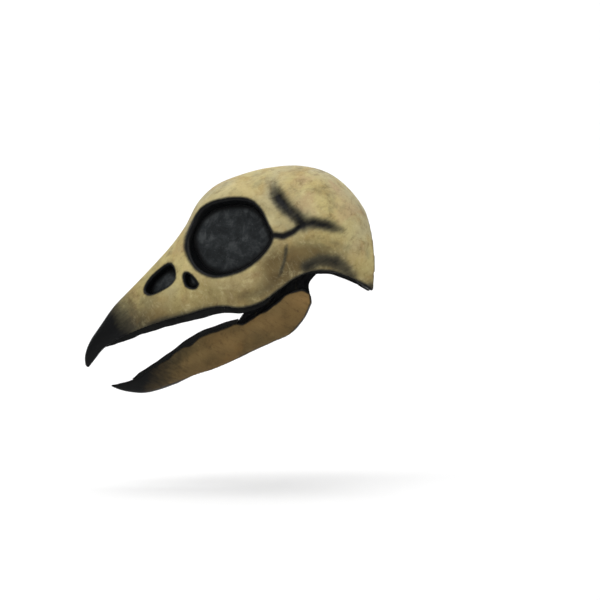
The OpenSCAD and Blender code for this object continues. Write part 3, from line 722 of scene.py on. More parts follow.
def cheek_gusset(side):
    s = np.linspace(0, 1, 110)
    t = np.concatenate([np.linspace(0, 1, 7)[:-1], np.linspace(1, 2, 46)[:-1], np.linspace(2, 3, 7)])
    ss, tt = np.meshgrid(s, t, indexing="ij")
    points = gusset_point(ss, tt)
    nu, nw = ss.shape
    area = 0.0
    p = points
    for a, b, c in ((p[:-1, :-1], p[1:, :-1], p[1:, 1:]), (p[:-1, :-1], p[1:, 1:], p[:-1, 1:])):
        area += 0.5 * np.linalg.norm(np.cross(b - a, c - a), axis=-1).sum()
    points = points.copy()
    points[..., 0] *= side
    faces = [(i * nw + j, (i + 1) * nw + j, (i + 1) * nw + j + 1, i * nw + j + 1)
             for i in range(nu - 1) for j in range(nw - 1)]
    obj = new_mesh(("left" if side == LEFT else "right") + "_gusset_fabric", points.reshape(-1, 3), faces)
    thick = obj.modifiers.new("thickness", "SOLIDIFY")
    thick.thickness = 0.9 * MM
    thick.offset = 0
    apply_modifiers(obj)
    wide = np.linalg.norm(np.diff(points[:, 28], axis=0), axis=-1).sum()
    return obj, wide * MM, area * MM * MM


# ---------------------------------------------------------------- mesh panels of the sockets
def mesh_panel(name, hole, side, bulge):
    """Taut sheet over the floor of a socket, a little domed, and the piped hem round it."""
    origin, back, up, n = hole_axes(hole)
    loop = hole[3]
    centre = loop.mean(0)
    away = loop - centre
    grown = centre + away * (1 + 1.6 / np.linalg.norm(away, axis=1))[:, None]
    rings = 26
    r = np.linspace(0, 1, rings + 1)[1:]
    flat = centre + (grown - centre)[None] * r[:, None, None]
    lumps = 0.32 * np.sin(flat[..., 0] / 5.3 + 1.3 * np.sin(flat[..., 1] / 7.1)) * np.cos(flat[..., 1] / 4.7)
    lumps += 0.2 * np.sin(flat[..., 0] / 2.6 + flat[..., 1] / 3.4)
    high = bulge * (1 - r[:, None] ** 2.4) + lumps * (1 - r[:, None] ** 6)
    high = high - hole[2] - 0.3 - 0.8
    points = [centre[0] * back + centre[1] * up + (bulge - hole[2] - 1.1) * n]
    points += list((flat[..., :1] * back + flat[..., 1:] * up + high[..., None] * n).reshape(-1, 3))
    points = np.array(points) + origin
    m = len(loop)
    faces = [(0, 1 + j, 1 + (j + 1) % m) for j in range(m)]
    faces += [(1 + i * m + j, 1 + (i + 1) * m + j, 1 + (i + 1) * m + (j + 1) % m, 1 + i * m + (j + 1) % m)
              for i in range(rings - 1) for j in range(m)]
    area = 0.0
    for f in faces:
        for k in range(1, len(f) - 1):
            area += 0.5 * np.linalg.norm(np.cross(points[f[k]] - points[f[0]], points[f[k + 1]] - points[f[0]]))
    mirror = np.array([side, 1, 1])
    obj = new_mesh(name, points * mirror, faces)
    thick = obj.modifiers.new("thickness", "SOLIDIFY")
    thick.thickness = 0.7 * MM
    thick.offset = 0
    apply_modifiers(obj)
    uv = np.vstack([centre[None], flat.reshape(-1, 2)])
    set_attribute(obj, "along", np.tile(uv[:, 0], 2)[:len(obj.data.vertices)])
    set_attribute(obj, "across", np.tile(uv[:, 1], 2)[:len(obj.data.vertices)])
    # Painted shade that darkens the sheet towards its rim
    inset = -polygon_distance(uv[:, 0], uv[:, 1], loop * 0.88)
    set_attribute(obj, "rim", np.tile(np.clip(1 - inset / 7, 0, 1), 2)[:len(obj.data.vertices)])
    size = (np.ptp(grown, axis=0) + 1) * MM
    rim = points[1 + (rings - 1) * m:] + 0.5 * n
    hem = pipe(name + "_hem", rim * mirror, 1.1)
    return obj, hem, tuple(size), area * MM * MM


def pipe(name, path, radius, closed=True, sides=8):
    """Round cord along a path."""
    path = np.asarray(path, float)
    if closed:
        ahead = np.roll(path, -1, 0) - np.roll(path, 1, 0)
    else:
        ahead = np.gradient(path, axis=0)
    ahead = unit(ahead)
    one = unit(np.cross(ahead, unit(path - path.mean(0)) + 0.01))
    two = np.cross(ahead, one)
    angle = np.arange(sides) * 2 * math.pi / sides
    rings = path[:, None] + radius * (np.cos(angle)[:, None] * one[:, None] + np.sin(angle)[:, None] * two[:, None])
    n = len(path)
    faces = [(i * sides + j, ((i + 1) % n) * sides + j, ((i + 1) % n) * sides + (j + 1) % sides,
              i * sides + (j + 1) % sides) for i in range(n if closed else n - 1) for j in range(sides)]
    if not closed:
        faces += [tuple(range(sides))[::-1], tuple((n - 1) * sides + j for j in range(sides))]
    return new_mesh(name, rings.reshape(-1, 3), faces)


# ---------------------------------------------------------------- foam pads
def face_pad(name, u_range, w_range, thick, crown, side=LEFT, off_wall=1.5):
    """Fabric-faced foam on the inside of the skull: full and crowned, with a welt round its seam."""
    nu, nw = 34, 30
    a = np.linspace(-1, 1, nu)
    b = np.linspace(-1, 1, nw)
    # Rounded corners, and sides that pull in between them
    aa, bb = np.meshgrid(a, b, indexing="ij")
    ra = aa * (1 - 0.1 * bb**4) * (1 - 0.025 * (1 - bb**2))
    rb = bb * (1 - 0.1 * aa**4) * (1 - 0.025 * (1 - aa**2))
    u = (u_range[0] + u_range[1]) / 2 + ra * (u_range[1] - u_range[0]) / 2
    w = (w_range[0] + w_range[1]) / 2 + rb * (w_range[1] - w_range[0]) / 2
    edge = np.maximum(np.abs(aa), np.abs(bb))
    dome = (1 - aa**6) * (1 - bb**6)
    full = thick * (0.62 + 0.38 * dome ** 0.5) + crown * dome * (1 - 0.35 * (aa**2 + bb**2))
    pucker = 0.25 * np.sin(9 * aa + 2 * bb) * np.sin(8 * bb) * dome
    back_d = SKULL_T + off_wall + 0.18 * thick * (1 - dome ** 0.35)
    near = skull_face(u, w, back_d)
    far = skull_face(u, w, SKULL_T + 1.5 + np.minimum(full + pucker, thick + crown))
    near[..., 0] *= side
    far[..., 0] *= side
    obj = grid_solid(name, near, far)
    soften(obj, 1.2, 3, 1)
    border = [(i, 0) for i in range(nu)] + [(nu - 1, j) for j in range(1, nw)]
    border += [(i, nw - 1) for i in range(nu - 2, -1, -1)] + [(0, j) for j in range(nw - 2, 0, -1)]
    welt = np.array([0.42 * near[i, j] + 0.58 * far[i, j] for i, j in border])
    return obj, pipe(name + "_welt", welt, 0.9)


def chin_pad():
    """Rounded pad on the chin strap."""
    nx, ny = 40, 24
    a, b = np.meshgrid(np.linspace(-1, 1, nx), np.linspace(-1, 1, ny), indexing="ij")
    x = 24 * a * (1 - 0.12 * b**4)
    y = -80 + 13 * b * (1 - 0.1 * a**4)
    dome = (1 - a**6) * (1 - b**6)
    base = -137 + 0.8 + 0.3
    low = np.stack([x, y, base + 1.6 * (1 - dome ** 0.4)], -1)
    top = np.stack([x, y, base + 4.2 + 4.6 * dome ** 0.6 - 1.2 * (1 - a**2) * (1 - b**2)], -1)
    obj = grid_solid("chin_pad_foam", low, top)
    soften(obj, 1.0, 3, 1)
    border = [(i, 0) for i in range(nx)] + [(nx - 1, j) for j in range(1, ny)]
    border += [(i, ny - 1) for i in range(nx - 2, -1, -1)] + [(0, j) for j in range(ny - 2, 0, -1)]
    welt = np.array([0.5 * low[i, j] + 0.5 * top[i, j] for i, j in border])
    return obj, pipe("chin_pad_welt", welt, 0.8)


# ---------------------------------------------------------------- straps
STRAP_T, STRAP_W = 1.6, 25
UPPER = (20, [(0, 91.5), (34, 91.5), (45, 90), (56, 86), (68, 78), (78, 66), (83, 56), (84, 46), (84, 28)])
LOWER = (-15, [(0, 93), (34, 93), (46, 92), (58, 89), (69, 84), (78, 76), (83, 67), (84, 58), (84, 42)])
CHIN = [(0, -137), (25, -137), (34, -134.5), (41, -129), (45.5, -121), (47, -114), (47, -100)]


def dense_path(half, step=1.5):
    pts = np.array([(-a, b) for a, b in reversed(half[1:])] + list(half), float)
    length = np.concatenate([[0], np.cumsum(np.linalg.norm(np.diff(pts, axis=0), axis=1))])
    at = np.linspace(0, length[-1], int(length[-1] / step) + 1)
    line = np.stack([np.interp(at, length, pts[:, k]) for k in (0, 1)], -1)
    for _ in range(3):
        line[1:-1] = 0.25 * line[:-2] + 0.5 * line[1:-1] + 0.25 * line[2:]
    return line, at


def strap(name, half, place, wide, bars):
    """Flat woven band along a path, with a rounded selvedge and box stitching at its ends."""
    line, at = dense_path(half)
    ahead = unit(np.gradient(line, axis=0))
    out = np.stack([-ahead[:, 1], ahead[:, 0]], -1)
    t = np.linspace(0, 1, 17)
    w = wide / 2
    shape = [(-w + 0.9 * 0, 0)] + [(-w + s * wide, 1) for s in (0.02, 0.06, 0.25, 0.5, 0.75, 0.94, 0.98)]
    shape += [(w, 0)] + [(w - s * wide, -1) for s in (0.02, 0.06, 0.25, 0.5, 0.75, 0.94, 0.98)]
    half_t = STRAP_T / 2
    heights = {0.02: 0.72, 0.98: 0.72, 0.06: 0.98, 0.94: 0.98}
    points, along, across = [], [], []
    for p, o, s in zip(line, out, at):
        for k, (c, sign) in enumerate(shape):
            share = abs((c + w) / wide)
            h = sign * half_t * heights.get(round(share, 2), 0.93)
            points.append(place(p + o * h, c))
            along.append(s)
            across.append(c)
    n, m = len(line), len(shape)
    faces = [(i * m + j, (i + 1) * m + j, (i + 1) * m + (j + 1) % m, i * m + (j + 1) % m)
             for i in range(n - 1) for j in range(m)]
    faces += [tuple(range(m))[::-1], tuple((n - 1) * m + j for j in range(m))]
    obj = new_mesh(name, points, faces)
    set_attribute(obj, "along", along)
    set_attribute(obj, "across", across)
    stitches = []
    for bar in bars:
        stitches += stitch_row(line, out, at, bar, place, half_t)
    thread = join_meshes(name + "_thread", stitches)
    return obj, thread


def stitch_row(line, out, at, bar, place, half_t):
    """Short stitches between two points of a strap, each given as distance along and across."""
    (s0, c0), (s1, c1) = bar
    count = max(int(math.hypot(s1 - s0, c1 - c0) / 3.0), 1)
    made = []
    for k in range(count):
        for sign in (1, -1):
            path = []
            for f in np.linspace(0.08, 0.82, 5):
                g = (k + f) / count
                s, c = s0 + (s1 - s0) * g, c0 + (c1 - c0) * g
                p = np.array([np.interp(s, at, line[:, 0]), np.interp(s, at, line[:, 1])])
                o = np.array([np.interp(s, at, out[:, 0]), np.interp(s, at, out[:, 1])])
                rise = half_t * 0.93 + 0.12 + 0.12 * math.sin(math.pi * (f - 0.08) / 0.74)
                path.append(place(p + o * rise * sign, c))
            made.append(np.array(path))
    return made


def join_meshes(name, paths, radius=0.25, sides=5):
    points, faces = [], []
    for path in paths:
        ahead = unit(np.gradient(path, axis=0))
        ref = np.array([0.31, 0.87, 0.38])
        one = unit(np.cross(ahead, ref))
        two = np.cross(ahead, one)
        start = len(points)
        for p, a, b in zip(path, one, two):
            for k in range(sides):
                q = 2 * math.pi * k / sides
                points.append(p + radius * (math.cos(q) * a + math.sin(q) * b))
        n = len(path)
        faces += [(start + i * sides + j, start + (i + 1) * sides + j, start + (i + 1) * sides + (j + 1) % sides,
                   start + i * sides + (j + 1) % sides) for i in range(n - 1) for j in range(sides)]
        faces += [tuple(start + j for j in range(sides))[::-1],
                  tuple(start + (n - 1) * sides + j for j in range(sides))]
    return new_mesh(name, points, faces)


def head_strap(name, spec):
    z, half = spec
    _, at = dense_path(half)
    end = at[-1]
    bars = []
    # Turned ends, sewn down as boxes beside the anchors
    for base, way in ((0, 1), (end, -1)):
        a, b = base + way * 30, base + way * 44
        bars += [((a, -9), (a, 9)), ((b, -9), (b, 9)), ((a, -9), (b, -9)), ((a, 9), (b, 9)), ((a, -9), (b, 9)),
                 ((a, 9), (b, -9))]
    return strap(name, half, lambda p, c: (p[0], p[1], z + c), STRAP_W, bars)


def chin_strap():
    _, at = dense_path(CHIN)
    end = at[-1]
    bars = []
    for base, way in ((0, 1), (end, -1)):
        a, b = base + way * 15, base + way * 22
        bars += [((a, -11), (a, 11)), ((b, -11), (b, 11)), ((a, -11), (b, -11)), ((a, 11), (b, 11))]
    return strap("chin_webbing", CHIN, lambda p, c: (p[0], -80 + c, p[1]), 28, bars)


# ---------------------------------------------------------------- hard parts
def rounded_copy(node, width):
    """Copy of a CAD part with its edges broken, which stands for it."""
    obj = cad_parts[node]
    copy = bpy.data.objects.new(node + "_part", obj.data.copy())
    bpy.context.collection.objects.link(copy)
    weld = copy.modifiers.new("weld", "WELD")
    weld.merge_threshold = 0.01 * MM
    flat = copy.modifiers.new("flat", "DECIMATE")
    flat.decimate_type = "DISSOLVE"
    flat.angle_limit = math.radians(1)
    bevel = copy.modifiers.new("bevel", "BEVEL")
    bevel.width = width * MM
    bevel.segments = 2
    bevel.limit_method = "ANGLE"
    bevel.angle_limit = math.radians(35)
    apply_modifiers(copy)
    return copy


# ---------------------------------------------------------------- materials
def rgb(r, g, b):
    """Linear colour from 0 to 255 values."""
    out = []
    for v in (r, g, b):
        v /= 255
        out.append(v / 12.92 if v <= 0.04045 else ((v + 0.055) / 1.055) ** 2.4)
    return (*out, 1.0)


class Shader:
    """Short way to write a node tree around one Principled surface."""

    def __init__(self, name, **constants):
        self.material = bpy.data.materials.new(name)
        self.material.use_nodes = True
        self.tree = self.material.node_tree
        self.surface = self.tree.nodes["Principled BSDF"]
        for key, value in constants.items():
            self.surface.inputs[key.replace("_", " ")].default_value = value
        coords = self.tree.nodes.new("ShaderNodeTexCoord")
        self.place = coords.outputs["Object"]

    def put(self, socket, value):
        if isinstance(value, bpy.types.NodeSocket):
            self.tree.links.new(value, socket)
        elif value is not None:
            socket.default_value = value

    def node(self, kind, **settings):
        node = self.tree.nodes.new("ShaderNode" + kind)
        for key, value in settings.items():
            setattr(node, key, value)
        return node

    def math(self, operation, a, b=None, clamp=False):
        node = self.node("Math", operation=operation, use_clamp=clamp)
        self.put(node.inputs[0], a)
        self.put(node.inputs[1], b)
        return node.outputs[0]

    def mapped(self, scale=(1, 1, 1), turn=(0, 0, 0)):
        """Coordinates turned first and then stretched."""
        out = self.place
        for key, value in (("Rotation", [math.radians(v) for v in turn]), ("Scale", scale)):
            node = self.node("Mapping")
            self.put(node.inputs["Vector"], out)
            node.inputs[key].default_value = value
            out = node.outputs[0]
        return out

    def noise(self, scale, detail=4, rough=0.55, where=None, warp=0.0):
        node = self.node("TexNoise")
        self.put(node.inputs["Vector"], where or self.place)
        for key, value in (("Scale", scale), ("Detail", detail), ("Roughness", rough), ("Distortion", warp)):
            node.inputs[key].default_value = value
        return node.outputs["Fac"]

    def cells(self, scale, where=None, feature="F1"):
        node = self.node("TexVoronoi", feature=feature)
        self.put(node.inputs["Vector"], where or self.place)
        node.inputs["Scale"].default_value = scale
        return node.outputs["Distance"]

    def span(self, value, a, b, lo=0.0, hi=1.0, smooth=True):
        node = self.node("MapRange", interpolation_type="SMOOTHSTEP" if smooth else "LINEAR")
        self.put(node.inputs["Value"], value)
        for key, v in (("From Min", a), ("From Max", b), ("To Min", lo), ("To Max", hi)):
            node.inputs[key].default_value = v
        return node.outputs["Result"]

    def mix(self, share, a, b):
        node = self.node("Mix", data_type="RGBA")
        self.put(node.inputs[0], share)
        self.put(node.inputs[6], a)
        self.put(node.inputs[7], b)
        return node.outputs[2]

    def attribute(self, name):
        return self.node("Attribute", attribute_name=name).outputs["Fac"]

    def colour(self, value):
        self.put(self.surface.inputs["Base Color"], value)

    def rough(self, value):
        self.put(self.surface.inputs["Roughness"], value)

    def bump(self, *layers):
        """Each layer is a height from 0 to 1 and its size in metres."""
        last = None
        for height, size in layers:
            node = self.node("Bump")
            node.inputs["Distance"].default_value = size
            self.put(node.inputs["Height"], height)
            if last is not None:
                self.put(node.inputs["Normal"], last)
            last = node.outputs[0]
        self.put(self.surface.inputs["Normal"], last)


def bone_material():
    s = Shader("aged_bone", IOR=1.46, Specular_IOR_Level=0.14)
    broad = s.noise(9, 3, 0.5, warp=0.4)
    patch = s.noise(26, 5, 0.62, warp=0.6)
    along = s.mapped(scale=(1, 0.16, 1), turn=(-32, 0, 0))
    strokes = s.noise(260, 6, 0.7, where=along, warp=0.25)
    across = s.mapped(scale=(1, 0.3, 1), turn=(58, 12, 0))
    fine = s.noise(210, 8, 0.78, where=across, warp=0.15)
    speck = s.noise(620, 3, 0.6)
    mottle = s.noise(62, 8, 0.74, warp=0.35)
    tone_and_shade, black_paint_and_shade, ridge_highlight = s.attribute("tone_and_shade"), s.attribute("black_paint_and_shade"), s.attribute("ridge_highlight")
    c = s.mix(s.span(broad, 0.38, 0.62), rgb(188, 174, 118), rgb(174, 164, 126))
    c = s.mix(s.span(patch, 0.42, 0.66, 0, 0.6), c, rgb(164, 138, 84))
    pink = s.noise(17, 4, 0.6, where=s.mapped(turn=(0, 0, 60)), warp=0.5)
    c = s.mix(s.span(pink, 0.52, 0.7, 0, 0.5), c, rgb(168, 136, 104))
    green = s.noise(21, 4, 0.6, where=s.mapped(turn=(70, 0, 0)), warp=0.5)
    c = s.mix(s.span(green, 0.5, 0.68, 0, 0.55), c, rgb(126, 122, 90))
    # Painted highlight on the raised ridges
    c = s.mix(s.span(ridge_highlight, 0.15, 1.0, 0, 0.5), c, rgb(204, 190, 138))
    # Painted shade in brown over the lower parts and hollows, together with the brown of the paint
    brown = s.mix(s.span(patch, 0.36, 0.62), rgb(78, 61, 32), rgb(98, 82, 50))
    c = s.mix(s.math("MULTIPLY", tone_and_shade, s.span(broad, 0.2, 0.7, 0.75, 1.0)), c, brown)
    c = s.mix(s.span(strokes, 0.5, 0.72, 0, 0.34), c, rgb(112, 94, 58))
    c = s.mix(s.span(fine, 0.5, 0.78, 0, 0.42), c, rgb(198, 186, 144))
    c = s.mix(s.span(fine, 0.24, 0.46, 0.34, 0), c, rgb(96, 82, 52))
    c = s.mix(s.span(mottle, 0.5, 0.7, 0, 0.6), c, rgb(108, 90, 56))
    c = s.mix(s.span(mottle, 0.3, 0.48, 0.42, 0), c, rgb(206, 194, 146))
    c = s.mix(s.span(speck, 0.63, 0.72, 0, 0.35), c, rgb(92, 76, 50))
    # The black of the paint at the beak and edges, and the painted shade in grooves, hollows and openings, over a
    # dark grey haze
    edge = s.math("ADD", black_paint_and_shade, s.span(patch, 0.2, 0.8, -0.16, 0.16, False))
    edge = s.math("ADD", edge, s.span(strokes, 0.25, 0.75, -0.08, 0.08, False))
    haze = s.span(edge, 0.1, 0.62, 0, 0.78)
    core = s.span(edge, 0.48, 0.92)
    c = s.mix(haze, c, rgb(46, 48, 42))
    c = s.mix(core, c, rgb(7, 8, 9))
    s.colour(c)
    r = s.span(patch, 0.3, 0.7, 0.5, 0.62)
    r = s.math("SUBTRACT", r, s.math("MULTIPLY", core, 0.2))
    s.rough(s.math("ADD", r, s.span(strokes, 0.3, 0.7, -0.05, 0.05)))
    dents = s.noise(85, 4, 0.6, warp=0.3)
    s.bump((dents, 0.0012), (mottle, 0.0007), (strokes, 0.00042), (fine, 0.0002), (speck, 0.00012))
    return s.material


def jaw_material():
    s = Shader("dark_bone", IOR=1.46, Specular_IOR_Level=0.14)
    patch = s.noise(30, 5, 0.62, warp=0.6)
    broad = s.noise(13, 3, 0.5, warp=0.4)
    along = s.mapped(scale=(1, 0.16, 1), turn=(28, 0, 0))
    strokes = s.noise(240, 6, 0.7, where=along, warp=0.25)
    speck = s.noise(600, 3, 0.6)
    mottle = s.noise(62, 8, 0.74, warp=0.35)
    black_paint_and_shade, ridge_highlight = s.attribute("black_paint_and_shade"), s.attribute("ridge_highlight")
    c = s.mix(s.span(broad, 0.38, 0.62), rgb(98, 79, 46), rgb(86, 72, 44))
    c = s.mix(s.span(patch, 0.42, 0.66, 0, 0.7), c, rgb(74, 60, 34))
    amber = s.noise(19, 4, 0.6, where=s.mapped(turn=(0, 50, 0)), warp=0.5)
    c = s.mix(s.span(amber, 0.52, 0.7, 0, 0.5), c, rgb(108, 80, 40))
    # Painted highlight on the raised ridges
    c = s.mix(s.span(ridge_highlight, 0.2, 1.0, 0, 0.5), c, rgb(118, 97, 60))
    c = s.mix(s.math("MULTIPLY", s.attribute("tone_and_shade"), s.span(amber, 0.3, 0.6, 0.6, 1)), c, rgb(134, 106, 64))
    c = s.mix(s.span(strokes, 0.5, 0.72, 0, 0.4), c, rgb(60, 47, 24))
    c = s.mix(s.span(strokes, 0.2, 0.4, 0.25, 0), c, rgb(124, 104, 68))
    c = s.mix(s.span(mottle, 0.5, 0.72, 0, 0.45), c, rgb(52, 41, 22))
    c = s.mix(s.span(mottle, 0.28, 0.46, 0.3, 0), c, rgb(130, 108, 68))
    c = s.mix(s.span(speck, 0.63, 0.72, 0, 0.35), c, rgb(48, 38, 22))
    edge = s.math("ADD", black_paint_and_shade, s.span(patch, 0.2, 0.8, -0.18, 0.18, False))
    edge = s.math("ADD", edge, s.span(strokes, 0.25, 0.75, -0.1, 0.1, False))
    core = s.span(edge, 0.45, 0.9)
    c = s.mix(s.span(edge, 0.12, 0.6, 0, 0.75), c, rgb(34, 31, 22))
    c = s.mix(core, c, rgb(5, 6, 6))
    s.colour(c)
    s.rough(s.math("SUBTRACT", s.span(patch, 0.3, 0.7, 0.5, 0.62), s.math("MULTIPLY", core, 0.16)))
    s.bump((s.noise(90, 4, 0.6, warp=0.3), 0.0012), (mottle, 0.0007), (strokes, 0.0004), (speck, 0.00012))
    return s.material


def lining_material():
    s = Shader("black_latex", IOR=1.5, Specular_IOR_Level=0.12)
    lumps = s.noise(70, 5, 0.6, warp=0.5)
    fine = s.noise(420, 4, 0.6)
    c = s.mix(s.span(lumps, 0.35, 0.7), rgb(5, 6, 6), rgb(16, 17, 16))
    c = s.mix(s.span(fine, 0.6, 0.75, 0, 0.5), c, rgb(40, 40, 34))
    s.colour(c)
    s.rough(s.span(lumps, 0.3, 0.7, 0.32, 0.5))
    s.bump((lumps, 0.0022), (fine, 0.0003))
    return s.material


def woven(s, u, v, pitch):
    """Plain weave from two coordinates in mm: height of the threads, and which one lies on top."""
    turn = math.pi / pitch
    a = s.math("SINE", s.math("MULTIPLY", u, turn))
    b = s.math("SINE", s.math("MULTIPLY", v, turn))
    over = s.math("MULTIPLY", a, b)
    threads_u = s.math("ABSOLUTE", a)
    threads_v = s.math("ABSOLUTE", b)
    high = s.math("MAXIMUM", s.math("MULTIPLY", threads_u, s.span(over, -0.4, 0.4, 0.55, 1)),
                  s.math("MULTIPLY", threads_v, s.span(over, -0.4, 0.4, 1, 0.55)))
    return high, over


def mesh_material():
    s = Shader("woven_mesh", IOR=1.45, Specular_IOR_Level=0.15)
    u, v = s.attribute("along"), s.attribute("across")
    sway = s.noise(60, 3, 0.5)
    u = s.math("ADD", u, s.span(sway, 0, 1, -2, 2, False))
    high, over = woven(s, u, v, 1.7)
    lumps = s.noise(42, 6, 0.7, warp=0.5)
    fine = s.noise(480, 4, 0.65)
    c = s.mix(s.span(high, 0.3, 0.95), rgb(10, 11, 12), rgb(45, 49, 51))
    c = s.mix(s.span(lumps, 0.46, 0.66, 0, 0.75), c, rgb(72, 75, 76))
    c = s.mix(s.span(lumps, 0.3, 0.5, 0.7, 0), c, rgb(14, 15, 16))
    c = s.mix(s.span(fine, 0.6, 0.72, 0, 0.45), c, rgb(100, 103, 103))
    # Painted shade near the rim of the sheet
    c = s.mix(s.span(s.attribute("rim"), 0.0, 0.8, 0, 0.92), c, rgb(8, 9, 10))
    s.colour(c)
    s.rough(s.span(high, 0, 1, 0.75, 0.5))
    s.bump((lumps, 0.0018), (high, 0.0005), (fine, 0.0001))
    return s.material


def gusset_material():
    s = Shader("stretch_fabric", IOR=1.45, Specular_IOR_Level=0.06, Sheen_Weight=0.01, Sheen_Roughness=0.35)
    knit = s.cells(1150, s.mapped(scale=(1, 1, 0.6), turn=(-25, 0, 0)))
    worn = s.noise(48, 5, 0.6, warp=0.6)
    c = s.mix(s.span(knit, 0.1, 0.6), rgb(14, 15, 16), rgb(3, 3, 4))
    c = s.mix(s.span(worn, 0.56, 0.74, 0, 0.5), c, rgb(40, 38, 28))
    s.colour(c)
    s.rough(s.span(worn, 0.3, 0.7, 0.62, 0.46))
    s.bump((worn, 0.0009), (knit, 0.00022))
    return s.material


def foam_material():
    s = Shader("foam_fabric", IOR=1.45, Sheen_Weight=0.4, Sheen_Roughness=0.5)
    knit = s.cells(620)
    fluff = s.noise(210, 5, 0.65)
    c = s.mix(s.span(knit, 0.1, 0.65), rgb(66, 63, 60), rgb(30, 29, 28))
    c = s.mix(s.span(fluff, 0.5, 0.72, 0, 0.4), c, rgb(88, 84, 79))
    s.colour(c)
    s.rough(s.span(fluff, 0.3, 0.7, 0.82, 0.95))
    s.bump((fluff, 0.0007), (knit, 0.0003))
    return s.material


def webbing_material():
    s = Shader("woven_elastic", IOR=1.45, Sheen_Weight=0.3, Sheen_Roughness=0.4)
    u, v = s.attribute("along"), s.attribute("across")
    high, over = woven(s, u, v, 0.9)
    rib = s.math("ABSOLUTE", s.math("SINE", s.math("MULTIPLY", v, math.pi / 2.6)))
    fuzz = s.noise(520, 4, 0.65)
    c = s.mix(s.span(high, 0.35, 1.0), rgb(14, 14, 16), rgb(46, 46, 50))
    c = s.mix(s.span(rib, 0.0, 0.5, 0.6, 0), c, rgb(10, 10, 11))
    c = s.mix(s.span(fuzz, 0.6, 0.75, 0, 0.4), c, rgb(82, 82, 84))
    s.colour(c)
    s.rough(s.span(fuzz, 0.3, 0.7, 0.7, 0.85))
    s.bump((rib, 0.0003), (high, 0.00028))
    return s.material


def thread_material():
    s = Shader("grey_thread", IOR=1.45, Sheen_Weight=0.2)
    twist = s.noise(2600, 2, 0.5, where=s.mapped(turn=(30, 20, 45), scale=(1, 1, 0.3)))
    s.colour(s.mix(s.span(twist, 0.35, 0.65), rgb(74, 73, 72), rgb(128, 126, 122)))
    s.rough(s.span(twist, 0.3, 0.7, 0.5, 0.7))
    s.bump((twist, 0.0001))
    return s.material


def hem_material():
    s = Shader("piping", IOR=1.45, Sheen_Weight=0.2)
    twist = s.noise(900, 3, 0.6, where=s.mapped(turn=(0, 40, 40), scale=(1, 0.4, 1)))
    s.colour(s.mix(s.span(twist, 0.35, 0.65), rgb(12, 13, 14), rgb(40, 42, 43)))
    s.rough(s.span(twist, 0.3, 0.7, 0.55, 0.7))
    s.bump((twist, 0.0002))
    return s.material


def steel_material():
    s = Shader("zinc_plate", Metallic=1.0, Anisotropic=0.25)
    grain = s.noise(900, 3, 0.6, where=s.mapped(scale=(1, 0.08, 1)))
    stain = s.noise(60, 5, 0.6, warp=0.4)
    spots = s.cells(160)
    c = s.mix(s.span(stain, 0.4, 0.66), rgb(178, 180, 182), rgb(146, 150, 156))
    c = s.mix(s.span(spots, 0.0, 0.3, 0.3, 0), c, rgb(120, 122, 120))
    s.colour(c)
    s.rough(s.math("ADD", s.span(grain, 0.3, 0.7, 0.24, 0.4), s.span(stain, 0.4, 0.7, 0, 0.12)))
    s.bump((grain, 0.00005), (stain, 0.00012))
    return s.material


def nylon_material():
    s = Shader("natural_nylon", IOR=1.53, Subsurface_Weight=0.1)
    cloud = s.noise(120, 4, 0.55)
    s.colour(s.mix(s.span(cloud, 0.35, 0.7), rgb(226, 223, 212), rgb(204, 200, 186)))
    s.rough(s.span(cloud, 0.3, 0.7, 0.38, 0.5))
    s.bump((s.noise(700, 3, 0.5), 0.00008))
    return s.material


def resin_material():
    s = Shader("cast_resin", IOR=1.5)
    cloud = s.noise(45, 5, 0.6, warp=0.4)
    pits = s.cells(330)
    c = s.mix(s.span(cloud, 0.36, 0.68), rgb(122, 117, 101), rgb(98, 93, 79))
    c = s.mix(s.span(pits, 0.0, 0.18, 0.6, 0), c, rgb(58, 54, 45))
    s.colour(c)
    s.rough(s.span(cloud, 0.3, 0.7, 0.6, 0.78))
    s.bump((s.span(pits, 0.0, 0.25), 0.0003), (s.noise(300, 4, 0.6), 0.0002))
    return s.material


def slide_material():
    s = Shader("moulded_black", IOR=1.49, Specular_IOR_Level=0.5)
    skin = s.noise(1100, 3, 0.6)
    scuff = s.noise(240, 5, 0.7, where=s.mapped(scale=(1, 1, 0.25)))
    c = s.mix(s.span(scuff, 0.58, 0.74, 0, 0.5), rgb(18, 18, 19), rgb(60, 60, 61))
    s.colour(c)
    s.rough(s.span(scuff, 0.3, 0.75, 0.26, 0.48))
    s.bump((skin, 0.00006), (scuff, 0.00008))
    return s.material


def floor_material():
    s = Shader("pale_paper", Roughness=0.9)
    s.colour(s.mix(s.span(s.noise(3, 2, 0.5), 0.3, 0.7), (0.93, 0.93, 0.93, 1), (0.96, 0.96, 0.96, 1)))
    return s.material
